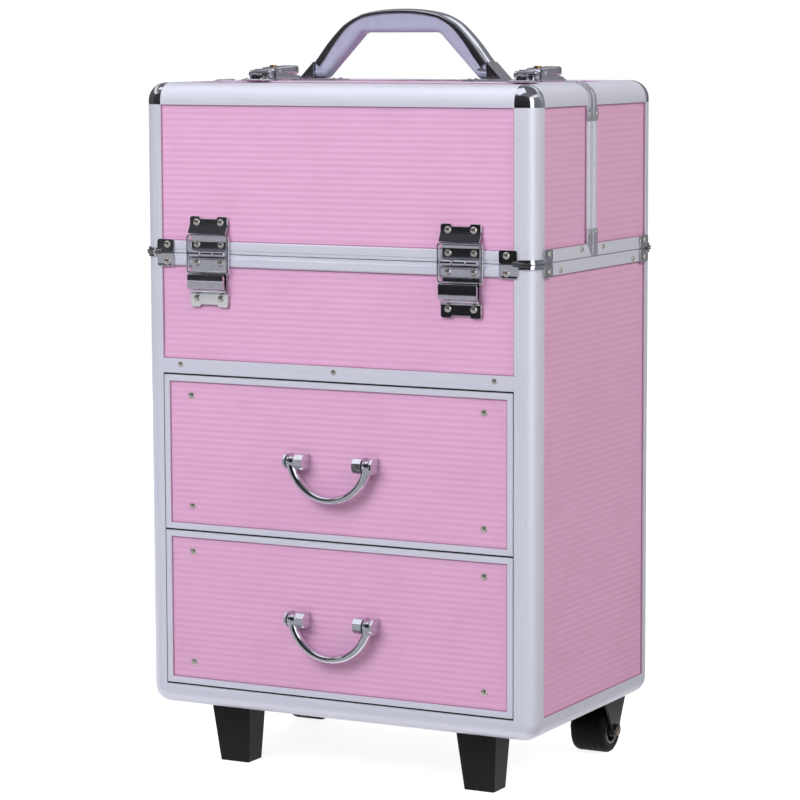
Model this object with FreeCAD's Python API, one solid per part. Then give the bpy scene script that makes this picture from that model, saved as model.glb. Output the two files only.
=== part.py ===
import FreeCAD, Part
import math
import os

from FreeCAD import Vector

# Makeup train case on feet and wheels. Millimetres, +Z up, front toward -Y, floor at Z = 0.

# Case
case_width = 360.0
case_depth = 233.0
foot_height = 51.0
body_height = 381.5
lid_height = 140.0
split_setback = 107.0          # front face to the split between the half lids
seam_gap = 0.6
split_gap = 0.8

# Edge extrusions, panels and rims
edge_face = 18.0
edge_radius = 15.0
edge_skin = 1.6
panel_thickness = 4.0
lip_thickness = 1.6
channel_depth = 7.0
rim_height = 10.0
rim_web = 1.6
split_rim_width = 9.0

# Compartment and drawers
rail_height = 12.0
compartment_depth = 88.0       # seam down to the top of the cross rail
floor_thickness = 4.0
drawer_gap = 1.6
drawer_side_gap = 0.8
drawer_frame_width = 5.0
drawer_frame_depth = 8.0
drawer_panel_recess = 1.2
drawer_wall = 3.0
drawer_wall_drop = 26.0        # top of the box walls below the top of the frame
drawer_box_lift = 6.0
drawer_back_gap = 14.0
runner_thickness = 2.0
runner_lift = 40.0
runner_width = 9.0
running_gap = 0.3

# Drawer pulls
pull_half_spacing = 35.0
pull_lug_half_height = 6.0
pull_lug_reach = 14.5
pull_lug_chamfer = 3.5
pull_lug_inner = 8.0
pull_lug_outer = 2.0
pull_eye_width = 7.4
pull_eye_radius = 5.0
pull_standoff = 9.0
pull_pin_radius = 2.0
bail_half_width = 2.6
bail_half_depth = 4.5
bail_drop = 30.0
bail_side_radius = 20.0

# Seam corner brackets
bracket_thickness = 1.2
bracket_lip = 2.5
bracket_lip_thickness = 1.2
bracket_band_height = 3.5
ear_height = 10.5
ear_on_post = 3.0
ear_on_rim = 12.0
ear_round = 2.5

# Stop hinges
hinge_inset = 64.0             # case side to the hinge's middle
hinge_plate = 1.2
hinge_axis_out = 2.8
knuckle_radius = 2.5
knuckle_half = 6.0
knuckle_gap = 0.3
hinge_pin_radius = 1.2
hinge_fit = 0.05
leaf_half_width = 16.5
leaf_tail_half_width = 18.0
leaf_clear = 3.0
lower_leaf_length = 44.0
lower_tail_length = 14.4
upper_leaf_length = 31.0
tail_notch_depth = 2.5
tail_notch_half = 8.0
tongue_half_width = 15.5
tongue_length = 12.4
tongue_out = 7.0
tongue_thickness = 0.8
ridge_out = 4.6
ridge_lip = 0.8
ridge_length = 4.7
ring_wire_radius = 1.0
ring_half_width = 19.4
ring_corner = 3.0
ring_top = 15.5
ring_length = 31.7
ring_out = 2.9

# Carry handle
handle_setback = 17.5          # behind the split
handle_pivot_height = 12.0
handle_half_span = 81.0
handle_span_height = 16.0
handle_height = 60.0
handle_crown_inset = 45.0
handle_crown_drop = 4.5
handle_shoulder_inset = 27.5
handle_shoulder_drop = 14.0
handle_shoulder_bulge = 1.6
handle_strip_thickness = 5.6
handle_half_width = 10.0
grip_half_width = 8.8
grip_hole_top = 40.3
grip_hole_top_inset = 45.0
grip_leg_width = 6.0
grip_hole_round = 7.0
grip_edge_round = 5.0
handle_end_gap = 0.4
handle_base_gap = 0.4
handle_pin_radius = 3.0
handle_pin_length = 10.0
wedge_length = 15.6
base_plate_thickness = 1.6
base_plate_reach = 22.0
base_plate_end = 4.0
base_plate_half_width = 12.5

# Latches
latch_inset = 55.5
latch_half_width = 11.0
latch_plate = 2.0
latch_base_length = 46.0
latch_split_clear = 1.0
lever_half_width = 8.0
lever_start = 4.0
lever_length = 42.0
lever_low = 5.2
lever_high = 11.2
lever_nose = 4.0
lever_heel_low = 5.5
lever_heel_high = 12.4
lever_edge_round = 2.0
lever_axis_back = 8.0
lever_axis_height = 7.4
lever_pin_radius = 1.5
lever_ear_thickness = 2.0
lever_ear_gap = 0.4
lever_ear_cover = 1.0
plug_radius = 3.0
plug_proud = 1.0
plug_depth = 4.0
plug_back = 14.0
keeper_length = 22.0
keeper_hook_depth = 7.0
keeper_hook_height = 9.0
keeper_hook_half = 7.0

# Trays and their level arms, measured from the lid hinge axis: inward, up
tray_side_clear = 13.0
tray_wall = 2.4
tray_front = 16.0
tray_split_clear = 4.0
tray_height = 38.0
lower_tray_bottom = 8.0
upper_tray_bottom = 48.0
lower_tray_pivot = (23.0, 14.0)
upper_tray_pivot = (66.0, 56.0)
arm_offset = (32.0, -3.0)
arm_gap = 1.4
arm_thickness = 2.0
arm_half_width = 4.0
stud_radius = 1.5
stud_fit = 0.05
open_pivot_fit = 0.35

# Feet
foot_inset = 64.5
foot_setback = 54.2            # front face of the case to the foot's rear face
foot_top_width = 36.8
foot_top_depth = 29.4
foot_bottom_width = 27.2
foot_bottom_depth = 22.8
foot_round = 1.5

# Casters
wheel_inset = 40.0
wheel_setback = 26.0           # back face to the axle
wheel_radius = 20.0
tyre_width = 32.0
tyre_round = 4.0
hub_radius = 12.5
hub_rim_inner = 10.0
hub_rim_half = 15.0
hub_web_half = 9.0
hub_boss_radius = 6.0
hub_boss_half = 16.0
axle_radius = 3.0
axle_fit = 0.05
axle_head = 2.5
axle_head_radius = 4.6
fork_plate = 2.0
fork_gap = 1.0
fork_top = 2.5
fork_wheel_clear = 1.5
fork_top_half_depth = 21.0
fork_end_radius = 6.5

# Pull handle on the back
pull_tube_half_spacing = 58.0
sleeve_width = 16.0
sleeve_depth = 14.0
sleeve_wall = 1.6
sleeve_low = 24.0              # above the case bottom
sleeve_top_below_seam = 46.0
slide_fit = 0.35
tube_foot_gap = 12.0
tube_wall = 1.2
collar_height = 18.0
collar_half_width = 80.0
collar_out = 18.0
foot_clamp_height = 14.0
foot_clamp_side = 4.0
grip_bar_height = 16.0
grip_bar_half = 74.0
grip_top_below_seam = 11.0
grip_bar_out = 19.0
grip_bar_round = 5.0
button_half_length = 14.0
button_half_width = 4.0
button_fit = 0.3
button_proud = 2.0
button_depth = 8.0
button_travel_room = 4.0

# Places worked out from the sizes above
x_out = case_width / 2
y_front = -case_depth / 2
y_back = case_depth / 2
z_bottom = foot_height
z_seam = foot_height + body_height
z_top = z_seam + lid_height
y_split = y_front + split_setback
body_top = z_seam - seam_gap / 2
lid_low = z_seam + seam_gap / 2
slot_floor = edge_face - channel_depth
panel_inner = edge_skin + panel_thickness
wall_depth = panel_inner + lip_thickness
rail_top = z_seam - compartment_depth
rail_bottom = rail_top - rail_height
post_inner = x_out - edge_face
hinge_half_spacing = x_out - hinge_inset
latch_half_spacing = x_out - latch_inset
handle_crown_half = handle_half_span - handle_crown_inset
handle_shoulder_half = handle_half_span - handle_shoulder_inset
grip_hole_top_half = handle_half_span - grip_hole_top_inset
grip_hole_base_half = handle_half_span - grip_leg_width
base_plate_inner = handle_half_span - base_plate_reach
tray_half_length = x_out - tray_side_clear
foot_half_spacing = x_out - foot_inset
wheel_half_spacing = x_out - wheel_inset
faces = {-1: y_front, 1: y_back}
lid_names = {-1: "front_lid", 1: "rear_lid"}
axis_x = Vector(1, 0, 0)
axis_y = Vector(0, 1, 0)
axis_z = Vector(0, 0, 1)
parts = {}
touch = 1e-3                   # two places this near are the same place


def block(x, y, z):
    """Box between pairs of limits, given in either order."""
    x, y, z = sorted(x), sorted(y), sorted(z)
    return Part.makeBox(x[1] - x[0], y[1] - y[0], z[1] - z[0], Vector(x[0], y[0], z[0]))


def rod(start, direction, radius, length):
    return Part.makeCylinder(radius, length, start, direction)


def group(shapes):
    return Part.makeCompound(shapes)


def fused(shapes):
    return shapes[0].multiFuse(shapes[1:]).removeSplitter()


def prism(points, origin, across, up, run):
    """Straight-sided outline, in steps across and up from the origin, pushed along the run."""
    corners = [origin + across * a + up * b for a, b in points]
    wire = Part.makePolygon(corners + corners[:1])
    return Part.Face(wire).extrude(run)


def line(start, end):
    return Part.LineSegment(start, end).toShape()


def arc(start, middle, end):
    return Part.Arc(start, middle, end).toShape()


def edge_trim(corner, a, b, run):
    """Rounded corner extrusion with a slot in each leg for a panel."""
    def at(across, up):
        return corner + a * across + b * up

    bulge = edge_radius * (1 - math.sqrt(0.5))
    path = [(0, edge_face), (edge_skin, edge_face), (edge_skin, slot_floor), (panel_inner, slot_floor),
            (panel_inner, edge_face), (wall_depth, edge_face), (wall_depth, wall_depth),
            (edge_face, wall_depth), (edge_face, panel_inner), (slot_floor, panel_inner),
            (slot_floor, edge_skin), (edge_face, edge_skin), (edge_face, 0), (edge_radius, 0)]
    edges = [line(at(*p), at(*q)) for p, q in zip(path, path[1:])]
    edges.append(arc(at(edge_radius, 0), at(bulge, bulge), at(0, edge_radius)))
    edges.append(line(at(0, edge_radius), at(0, edge_face)))
    return Part.Face(Part.Wire(edges)).extrude(run)


def rim_channel(corner, inward, into, run, leg):
    """U-shaped rim over a panel edge, flush with the extrusions outside."""
    path = [(0, 0), (wall_depth, 0), (wall_depth, leg), (panel_inner, leg), (panel_inner, rim_web),
            (edge_skin, rim_web), (edge_skin, leg), (0, leg)]
    return prism(path, corner, inward, into, run)


def corner_cap(x_sign, y_sign, z, z_sign):
    """Thin ball corner that closes the ends of three extrusions."""
    def rounded(inset):
        size = edge_face - inset
        cube = Part.makeBox(size, size, size, Vector(inset, inset, inset))
        near = [e for e in cube.Edges if any(v.Point.Length < inset * 2 + touch for v in e.Vertexes)]
        return cube.makeFillet(edge_radius - inset, near)

    cap = rounded(0).cut(rounded(edge_skin))
    for sign, normal in ((x_sign, axis_x), (y_sign, axis_y), (z_sign, axis_z)):
        if sign > 0:
            cap = cap.mirror(Vector(), normal)
    cap.translate(Vector(x_sign * x_out, y_sign * case_depth / 2, z))
    return cap


def wrap(corner, a, b, thickness, reach, height):
    """Strip of the given thickness bent around a corner post."""
    def at(across, up):
        return corner + a * across + b * up

    def bend(offset):
        r = edge_radius + offset
        middle = edge_radius - r * math.sqrt(0.5)
        return arc(at(edge_radius, -offset), at(middle, middle), at(-offset, edge_radius))

    edges = [line(at(reach, 0), at(reach, -thickness)),
             line(at(reach, -thickness), at(edge_radius, -thickness)), bend(thickness),
             line(at(-thickness, edge_radius), at(-thickness, reach)),
             line(at(-thickness, reach), at(0, reach)), line(at(0, reach), at(0, edge_radius)),
             bend(0), line(at(edge_radius, 0), at(reach, 0))]
    return Part.Face(Part.Wire(Part.__sortEdges__(edges))).extrude(height)


def seam_bracket(x_sign, y_sign, z, z_sign):
    """Riveted corner bracket: two ears, a band round the post and a lip along the seam."""
    corner = Vector(x_sign * x_out, y_sign * case_depth / 2, z)
    a = Vector(-x_sign, 0, 0)
    b = Vector(0, -y_sign, 0)
    up = Vector(0, 0, z_sign)
    reach = edge_face + ear_on_rim
    band = wrap(corner, a, b, bracket_thickness, reach, up * bracket_band_height)
    lip = wrap(corner, a, b, bracket_lip, edge_face, up * bracket_lip_thickness)
    pieces = [band, lip]
    for along, out in ((a, b), (b, a)):
        ear = [(edge_face - ear_on_post, 0), (reach, 0), (reach, ear_height - ear_round),
               (reach - ear_round, ear_height), (edge_face - ear_on_post, ear_height)]
        pieces.append(prism(ear, corner, along, up, out * -bracket_thickness))
    return fused(pieces)


def hinge_place(x, side):
    """Origin and outward direction of a hinge on the seam of the front or back face."""
    return Vector(x, faces[side], z_seam), Vector(0, side, 0)


def leaf_slab(place, outward, half_width, low, high, out_low, out_high):
    outline = [(out_low, low), (out_high, low), (out_high, high), (out_low, high)]
    return prism(outline, place - axis_x * half_width, outward, axis_z, axis_x * (2 * half_width))


def knuckle(place, outward, start, end):
    centre = place + outward * hinge_axis_out + axis_x * start
    return rod(centre, axis_x, knuckle_radius, end - start)


def lower_leaf(x, side):
    """Body leaf: centre knuckle with its pin, plate, and the tongue that traps the stay ring."""
    place, outward = hinge_place(x, side)
    tail_top = -lower_leaf_length + lower_tail_length
    web_top = tail_top + tongue_thickness
    notch = leaf_slab(place, outward, tail_notch_half, -lower_leaf_length,
                      -lower_leaf_length + tail_notch_depth, 0, hinge_plate)
    tail = leaf_slab(place, outward, leaf_tail_half_width, -lower_leaf_length, tail_top, 0, hinge_plate)
    pin = rod(place + outward * hinge_axis_out - axis_x * leaf_half_width, axis_x, hinge_pin_radius,
              2 * leaf_half_width)
    return fused([
        leaf_slab(place, outward, leaf_half_width, tail_top, -leaf_clear, 0, hinge_plate),
        tail.cut(notch),
        leaf_slab(place, outward, knuckle_half, -leaf_clear, 0, 0, hinge_plate),
        knuckle(place, outward, -knuckle_half, knuckle_half),
        pin,
        leaf_slab(place, outward, tongue_half_width, tail_top, web_top, 0, tongue_out),
        leaf_slab(place, outward, tongue_half_width, tail_top, tail_top + tongue_length,
                  tongue_out, tongue_out + tongue_thickness)])


def upper_leaf(x, side):
    """Lid leaf: two outer knuckles, plate with a notched end, and the ridge over the stay ring."""
    place, outward = hinge_place(x, side)
    ridge_low = ring_top + ring_wire_radius + running_gap
    inner = knuckle_half + knuckle_gap
    notch = leaf_slab(place, outward, tail_notch_half, upper_leaf_length - tail_notch_depth,
                      upper_leaf_length, 0, hinge_plate)
    tail = leaf_slab(place, outward, leaf_tail_half_width, ridge_low, upper_leaf_length, 0, hinge_plate)
    ridge_outline = [(0, ridge_low), (ridge_out, ridge_low), (ridge_out, ridge_low + ridge_lip),
                     (hinge_plate, ridge_low + ridge_length), (0, ridge_low + ridge_length)]
    ridge = prism(ridge_outline, place - axis_x * leaf_tail_half_width, outward, axis_z,
                  axis_x * (2 * leaf_tail_half_width))
    pieces = [leaf_slab(place, outward, leaf_half_width, leaf_clear, ridge_low, 0, hinge_plate),
              tail.cut(notch), ridge]
    for start, end in ((-leaf_half_width, -inner), (inner, leaf_half_width)):
        middle = (start + end) / 2
        pieces.append(knuckle(place, outward, start, end))
        pieces.append(leaf_slab(place + axis_x * middle, outward, (end - start) / 2, 0, leaf_clear,
                                0, hinge_plate))
    bore = rod(place + outward * hinge_axis_out - axis_x * leaf_half_width, axis_x,
               hinge_pin_radius + hinge_fit, 2 * leaf_half_width)
    return fused(pieces).cut(bore)


def stay_ring(x, side):
    """Rectangular wire ring that hangs from the lid leaf and stops in the tongue when the lid is open."""
    place, outward = hinge_place(x, side)
    centre = place + outward * ring_out
    top, low, half = ring_top, ring_top - ring_length, ring_half_width
    bend = ring_corner * (1 - math.sqrt(0.5))

    def at(across, up):
        return centre + axis_x * across + axis_z * up

    edges = [line(at(0, top), at(half - ring_corner, top)),
             arc(at(half - ring_corner, top), at(half - bend, top - bend), at(half, top - ring_corner)),
             line(at(half, top - ring_corner), at(half, low + ring_corner)),
             arc(at(half, low + ring_corner), at(half - bend, low + bend), at(half - ring_corner, low)),
             line(at(half - ring_corner, low), at(0, low))]
    section = Part.Wire(Part.makeCircle(ring_wire_radius, at(0, top), axis_x))
    right = Part.Wire(edges).makePipeShell([section], True, False)
    left = right.mirror(centre, axis_x)
    return right.fuse(left).removeSplitter()


def build_case_body():
    posts = []
    caps = []
    brackets = []
    post_run = axis_z * (body_top - z_bottom - edge_face)
    for x_sign in (-1, 1):
        for y_sign in (-1, 1):
            foot = Vector(x_sign * x_out, faces[y_sign], z_bottom + edge_face)
            posts.append(edge_trim(foot, Vector(-x_sign, 0, 0), Vector(0, -y_sign, 0), post_run))
            caps.append(corner_cap(x_sign, y_sign, z_bottom, -1))
            brackets.append(seam_bracket(x_sign, y_sign, body_top, -1))

    trims = []
    rims = []
    rim_top = body_top - rim_web
    panel_low = z_bottom + slot_floor
    for y_sign in (-1, 1):
        inward = Vector(0, -y_sign, 0)
        run = axis_x * (2 * post_inner)
        trims.append(edge_trim(Vector(-post_inner, faces[y_sign], z_bottom), inward, axis_z, run))
        corner = Vector(-post_inner, faces[y_sign], body_top)
        rims.append(rim_channel(corner, inward, -axis_z, run, rim_height))
    for x_sign in (-1, 1):
        inward = Vector(-x_sign, 0, 0)
        run = axis_y * (case_depth - 2 * edge_face)
        start = y_front + edge_face
        trims.append(edge_trim(Vector(x_sign * x_out, start, z_bottom), inward, axis_z, run))
        rim = rim_channel(Vector(x_sign * x_out, start, body_top), inward, -axis_z, run, rim_height)
        studs = [tray_stud(x_sign, side, arm_offset, x_out - wall_depth, tray_half_length + arm_gap)
                 for side in (-1, 1)]
        rims.append(fused([rim] + studs))

    sides = [block((x_sign * (x_out - edge_skin), x_sign * (x_out - panel_inner)),
                   (y_front + slot_floor, y_back - slot_floor), (panel_low, rim_top)) for x_sign in (-1, 1)]
    span = (-x_out + slot_floor, x_out - slot_floor)
    back = block(span, (y_back - edge_skin, y_back - panel_inner), (panel_low, rim_top))
    bottom = block(span, (y_front + slot_floor, y_back - slot_floor),
                   (z_bottom + edge_skin, z_bottom + panel_inner))
    front = block(span, (y_front + edge_skin, y_front + panel_inner), (rail_bottom + rim_web, rim_top))
    rail = rim_channel(Vector(-post_inner, y_front, rail_bottom), axis_y, axis_z, axis_x * (2 * post_inner),
                       rail_height)
    floor = block((-x_out + panel_inner, x_out - panel_inner), (y_front + wall_depth, y_back - panel_inner),
                  (rail_bottom, rail_bottom + floor_thickness))

    panels = sides + [back, bottom]
    parts["body_side_panels"] = group(sides)
    parts["back_panel"] = back
    parts["bottom_panel"] = bottom
    parts["compartment_front_panel"] = front
    parts["front_cross_rail"] = rail
    parts["compartment_floor"] = floor.cut(group(posts))
    parts["body_corner_posts"] = group(posts)
    parts["bottom_edge_frame"] = group(trims + [cap.cut(group(panels)) for cap in caps])
    parts["body_rims"] = group(rims)
    parts["body_seam_brackets"] = group(brackets)
    parts["hinge_lower_leaves"] = group([lower_leaf(sign * hinge_half_spacing, side)
                                         for side in (-1, 1) for sign in (-1, 1)])


def from_axis(side, point):
    """World Y and Z of a point given inward and up from a lid's hinge axis."""
    return faces[side] + side * (hinge_axis_out - point[0]), z_seam + point[1]


def tray_stud(x_sign, side, point, face, reach):
    """Pivot stud for a tray or an arm, from a wall face inward to the reach."""
    y, z = from_axis(side, point)
    return rod(Vector(x_sign * face, y, z), Vector(-x_sign, 0, 0), stud_radius, face - reach)


def build_lid(side):
    """Half lid: panels in extrusions, rims along the seam and the split, ball corners and brackets."""
    name = lid_names[side]
    face = faces[side]
    edge = y_split + side * split_gap / 2
    rim_low = lid_low + rim_web
    panel_high = z_top - slot_floor
    panel_split = edge + side * rim_web
    post_run = axis_z * (z_top - edge_face - lid_low)
    start = face - side * edge_face
    inward = Vector(0, -side, 0)
    away = Vector(0, side, 0)
    along = inward * abs(edge - start)
    across = axis_x * (2 * post_inner)

    trims = [edge_trim(Vector(-post_inner, face, z_top), inward, -axis_z, across)]
    rims = [rim_channel(Vector(-post_inner, face, lid_low), inward, axis_z, across, rim_height),
            rim_channel(Vector(-post_inner, edge, z_top), -axis_z, away, across, split_rim_width)]
    corners = []
    brackets = []
    ends = []
    for x_sign in (-1, 1):
        wall = Vector(-x_sign, 0, 0)
        x = x_sign * x_out
        trims.append(edge_trim(Vector(x, face, lid_low), wall, inward, post_run))
        trims.append(edge_trim(Vector(x, start, z_top), wall, -axis_z, along))
        rims.append(rim_channel(Vector(x, start, lid_low), wall, axis_z, along, rim_height))
        rims.append(rim_channel(Vector(x, edge, lid_low + rim_height), wall, away,
                                axis_z * (z_top - edge_face - lid_low - rim_height), split_rim_width))
        corners.append(corner_cap(x_sign, side, z_top, 1))
        brackets.append(seam_bracket(x_sign, side, lid_low, 1))
        end = block((x - x_sign * edge_skin, x - x_sign * panel_inner),
                    (face - side * slot_floor, panel_split), (rim_low, panel_high))
        studs = [tray_stud(x_sign, side, pivot, x_out - panel_inner, tray_half_length - tray_wall)
                 for pivot in (lower_tray_pivot, upper_tray_pivot)]
        ends.append(fused([end] + studs))

    span = (-x_out + slot_floor, x_out - slot_floor)
    face_panel = block(span, (face - side * edge_skin, face - side * panel_inner), (rim_low, panel_high))
    top_panel = block(span, (face - side * slot_floor, panel_split),
                      (z_top - edge_skin, z_top - panel_inner))
    panels = group(ends + [face_panel, top_panel])
    parts[name + "_face_panel"] = face_panel
    parts[name + "_top_panel"] = top_panel
    parts[name + "_end_panels"] = group([end.cut(group(rims)) for end in ends])
    parts[name + "_edge_trims"] = group(trims)
    parts[name + "_rims"] = group([rim.cut(group(ends)) for rim in rims])
    parts[name + "_corner_fittings"] = group([cap.cut(panels) for cap in corners] + brackets)
    parts[name + "_hinge_leaves"] = group([upper_leaf(sign * hinge_half_spacing, side) for sign in (-1, 1)])
    parts[name + "_stay_rings"] = group([stay_ring(sign * hinge_half_spacing, side) for sign in (-1, 1)])


def build_trays(side):
    """Two open trays in a half lid and the pair of arms that keep them level."""
    name = lid_names[side].split("_")[0]
    split_wall = abs(y_split - faces[side]) + hinge_axis_out
    depth_limits = (tray_front, split_wall - tray_split_clear)
    arm_low = tray_half_length + arm_gap
    arm_points = [arm_offset]
    for level, low, pivot in (("lower", lower_tray_bottom, lower_tray_pivot),
                              ("upper", upper_tray_bottom, upper_tray_pivot)):
        joint = (pivot[0] + arm_offset[0], pivot[1] + arm_offset[1])
        arm_points.append(joint)
        y = [from_axis(side, (u, low))[0] for u in depth_limits]
        z = [z_seam + low, z_seam + low + tray_height]
        y_wall = math.copysign(tray_wall, y[1] - y[0])
        tray = block((-tray_half_length, tray_half_length), y, z).cut(
            block((-tray_half_length + tray_wall, tray_half_length - tray_wall),
                  (y[0] + y_wall, y[1] - y_wall), (z[0] + tray_wall, z[1])))
        for x_sign in (-1, 1):
            pin_y, pin_z = from_axis(side, joint)
            pin = rod(Vector(x_sign * tray_half_length, pin_y, pin_z), Vector(x_sign, 0, 0), stud_radius,
                      arm_gap + arm_thickness)
            hole_y, hole_z = from_axis(side, pivot)
            hole = rod(Vector(x_sign * tray_half_length, hole_y, hole_z), Vector(-x_sign, 0, 0),
                       stud_radius + stud_fit, tray_wall)
            tray = tray.fuse(pin).cut(hole)
        parts[name + "_" + level + "_tray"] = tray.removeSplitter()

    arms = []
    for x_sign in (-1, 1):
        run = Vector(x_sign, 0, 0)
        x = x_sign * arm_low
        spots = [Vector(x, *from_axis(side, point)) for point in arm_points]
        pieces = [rod(spot, run, arm_half_width, arm_thickness) for spot in spots]
        for first, second in zip(spots, spots[1:]):
            step = second - first
            side_step = step.cross(run).normalize() * arm_half_width
            corners = [first + side_step, second + side_step, second - side_step, first - side_step]
            pieces.append(Part.Face(Part.makePolygon(corners + corners[:1])).extrude(run * arm_thickness))
        fits = [stud_fit, open_pivot_fit, open_pivot_fit]
        holes = [rod(spot, run, stud_radius + fit, arm_thickness) for spot, fit in zip(spots, fits)]
        arms.append(fused(pieces).cut(group(holes)))
    parts[name + "_tray_arms"] = group(arms)


def build_feet():
    feet = []
    for x_sign in (-1, 1):
        rear = Vector(x_sign * foot_half_spacing, y_front + foot_setback, 0)
        wires = []
        for width, depth, z in ((foot_bottom_width, foot_bottom_depth, 0),
                                (foot_top_width, foot_top_depth, z_bottom + edge_skin)):
            outline = [(-width / 2, -depth), (width / 2, -depth), (width / 2, 0), (-width / 2, 0)]
            corners = [rear + Vector(a, b, z) for a, b in outline]
            wires.append(Part.makePolygon(corners + corners[:1]))
        foot = Part.makeLoft(wires, True, True)
        upright = [e for e in foot.Edges if abs(e.Vertexes[0].Z - e.Vertexes[-1].Z) > foot_round]
        feet.append(foot.makeFillet(foot_round, upright))
    parts["front_feet"] = group(feet)


def build_casters():
    forks = []
    axle_y = y_back - wheel_setback
    for x_sign, name in ((-1, "left_wheel"), (1, "right_wheel")):
        centre = Vector(x_sign * wheel_half_spacing, axle_y, wheel_radius)
        inner = hub_boss_half + fork_gap
        outer = inner + fork_plate
        top = z_bottom - fork_top
        cheek = [centre + Vector(0, -fork_end_radius, 0), centre + Vector(0, 0, -fork_end_radius),
                 centre + Vector(0, fork_end_radius, 0)]
        shoulders = [centre + Vector(0, sign * fork_top_half_depth, top - wheel_radius) for sign in (-1, 1)]
        outline = Part.Wire([arc(*cheek), line(cheek[2], shoulders[1]), line(shoulders[1], shoulders[0]),
                             line(shoulders[0], cheek[0])])
        plate = Part.Face(outline).extrude(axis_x * fork_plate)
        cheeks = [plate.translated(axis_x * offset) for offset in (-outer, inner)]
        crown = block((centre.x - outer, centre.x + outer),
                      (axle_y - fork_top_half_depth, axle_y + fork_top_half_depth), (top, z_bottom))
        reach = outer + axle_head
        axle = fused([rod(centre - axis_x * outer, axis_x, axle_radius, 2 * outer),
                      rod(centre - axis_x * reach, axis_x, axle_head_radius, axle_head),
                      rod(centre + axis_x * outer, axis_x, axle_head_radius, axle_head)])
        wheel_room = rod(centre - axis_x * inner, axis_x, wheel_radius + fork_wheel_clear, 2 * inner)
        forks.append(fused(cheeks + [crown.cut(wheel_room)]).cut(axle))
        forks.append(axle)

        tyre = rod(centre - axis_x * (tyre_width / 2), axis_x, wheel_radius, tyre_width)
        tyre = tyre.makeFillet(tyre_round, [e for e in tyre.Edges if isinstance(e.Curve, Part.Circle)])
        tyre = tyre.cut(rod(centre - axis_x * tyre_width, axis_x, hub_radius, 2 * tyre_width))
        bore = axle_radius + axle_fit
        half_profile = [(bore, hub_boss_half), (hub_boss_radius, hub_boss_half),
                        (hub_boss_radius, hub_web_half), (hub_rim_inner, hub_web_half),
                        (hub_rim_inner, hub_rim_half), (hub_radius, hub_rim_half)]
        profile = half_profile + [(r, -x) for r, x in reversed(half_profile)]
        corners = [centre + Vector(x, 0, r) for r, x in profile]
        hub = Part.Face(Part.makePolygon(corners + corners[:1])).revolve(centre, axis_x, 360)
        parts[name] = group([tyre, hub])
    parts["caster_forks"] = group(forks)


def arch_face(base):
    """Outline of the carry handle's arch, closed along a level base line."""
    half, rise, crown = handle_half_span, handle_height, handle_crown_half
    slope = (handle_shoulder_half - half) / (rise - handle_shoulder_drop - handle_span_height)
    foot = half + slope * (base - handle_span_height)
    shoulder_z = rise - handle_shoulder_drop
    crown_z = rise - handle_crown_drop
    bulge = ((handle_shoulder_half + crown) / 2 + handle_shoulder_bulge,
             (shoulder_z + crown_z) / 2 + handle_shoulder_bulge)
    y = y_split + handle_setback

    def at(x, z):
        return Vector(x, y, z_top + z)

    edges = [line(at(-foot, base), at(foot, base)),
             line(at(foot, base), at(handle_shoulder_half, shoulder_z)),
             arc(at(handle_shoulder_half, shoulder_z), at(*bulge), at(crown, crown_z)),
             arc(at(crown, crown_z), at(0, rise), at(-crown, crown_z)),
             arc(at(-crown, crown_z), at(-bulge[0], bulge[1]), at(-handle_shoulder_half, shoulder_z)),
             line(at(-handle_shoulder_half, shoulder_z), at(-foot, base))]
    return Part.Face(Part.Wire(edges))


def build_carry_handle():
    y = y_split + handle_setback
    pivot = z_top + handle_pivot_height
    low = base_plate_thickness + handle_base_gap
    arch = arch_face(-handle_strip_thickness)
    core = arch.makeOffset2D(-handle_strip_thickness)

    def thick(face, half_width):
        return face.extrude(axis_y * (2 * half_width)).translated(axis_y * -half_width)

    end = handle_half_span
    lump = block((-end, end), (y - handle_half_width, y + handle_half_width),
                 (z_top + low, z_top + handle_height))
    heel = block((-end, end), (y - handle_half_width, y + handle_half_width), (z_top, pivot))
    heel = heel.cut(rod(Vector(-end, y, pivot), axis_x, pivot - z_top - low, 2 * end))
    hole = prism([(-grip_hole_base_half, 0), (grip_hole_base_half, 0), (grip_hole_top_half, grip_hole_top),
                  (-grip_hole_top_half, grip_hole_top)],
                 Vector(0, y - handle_half_width, z_top), axis_x, axis_z, axis_y * (2 * handle_half_width))
    hole_corners = [e for e in hole.Edges if abs(e.Length - 2 * handle_half_width) < touch
                    and e.CenterOfMass.z > pivot]
    hole = hole.makeFillet(grip_hole_round, hole_corners)
    bores = group([rod(Vector(sign * end, y, pivot), Vector(-sign, 0, 0), handle_pin_radius + axle_fit,
                       handle_pin_length + handle_end_gap) for sign in (-1, 1)])
    strip = thick(arch, handle_half_width).cut(thick(core, handle_half_width)).common(lump).cut(heel)
    grip = thick(core, grip_half_width).common(lump).cut(heel).cut(hole)
    lengthwise = [e for e in grip.Edges if abs(abs(e.CenterOfMass.y - y) - grip_half_width) < touch
                  and e.BoundBox.ZMin > pivot and e.CenterOfMass.z < z_top + grip_hole_top + low]
    grip = grip.makeFillet(grip_edge_round, lengthwise)
    parts["carry_handle_arch"] = strip.cut(bores).cut(hole)
    parts["carry_handle_grip"] = grip.cut(bores)

    fittings = []
    for sign in (-1, 1):
        inner = end + handle_end_gap
        wedge = prism([(0, 0), (wedge_length, 0), (0, handle_span_height)],
                      Vector(sign * inner, y - handle_half_width, z_top), Vector(sign, 0, 0), axis_z,
                      axis_y * (2 * handle_half_width))
        plate = block((sign * base_plate_inner, sign * (inner + wedge_length + base_plate_end)),
                      (y - base_plate_half_width, y + base_plate_half_width),
                      (z_top, z_top + base_plate_thickness))
        pin = rod(Vector(sign * inner, y, pivot), Vector(-sign, 0, 0), handle_pin_radius, handle_pin_length)
        fittings.append(fused([wedge, plate, pin]))
    return fittings


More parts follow.
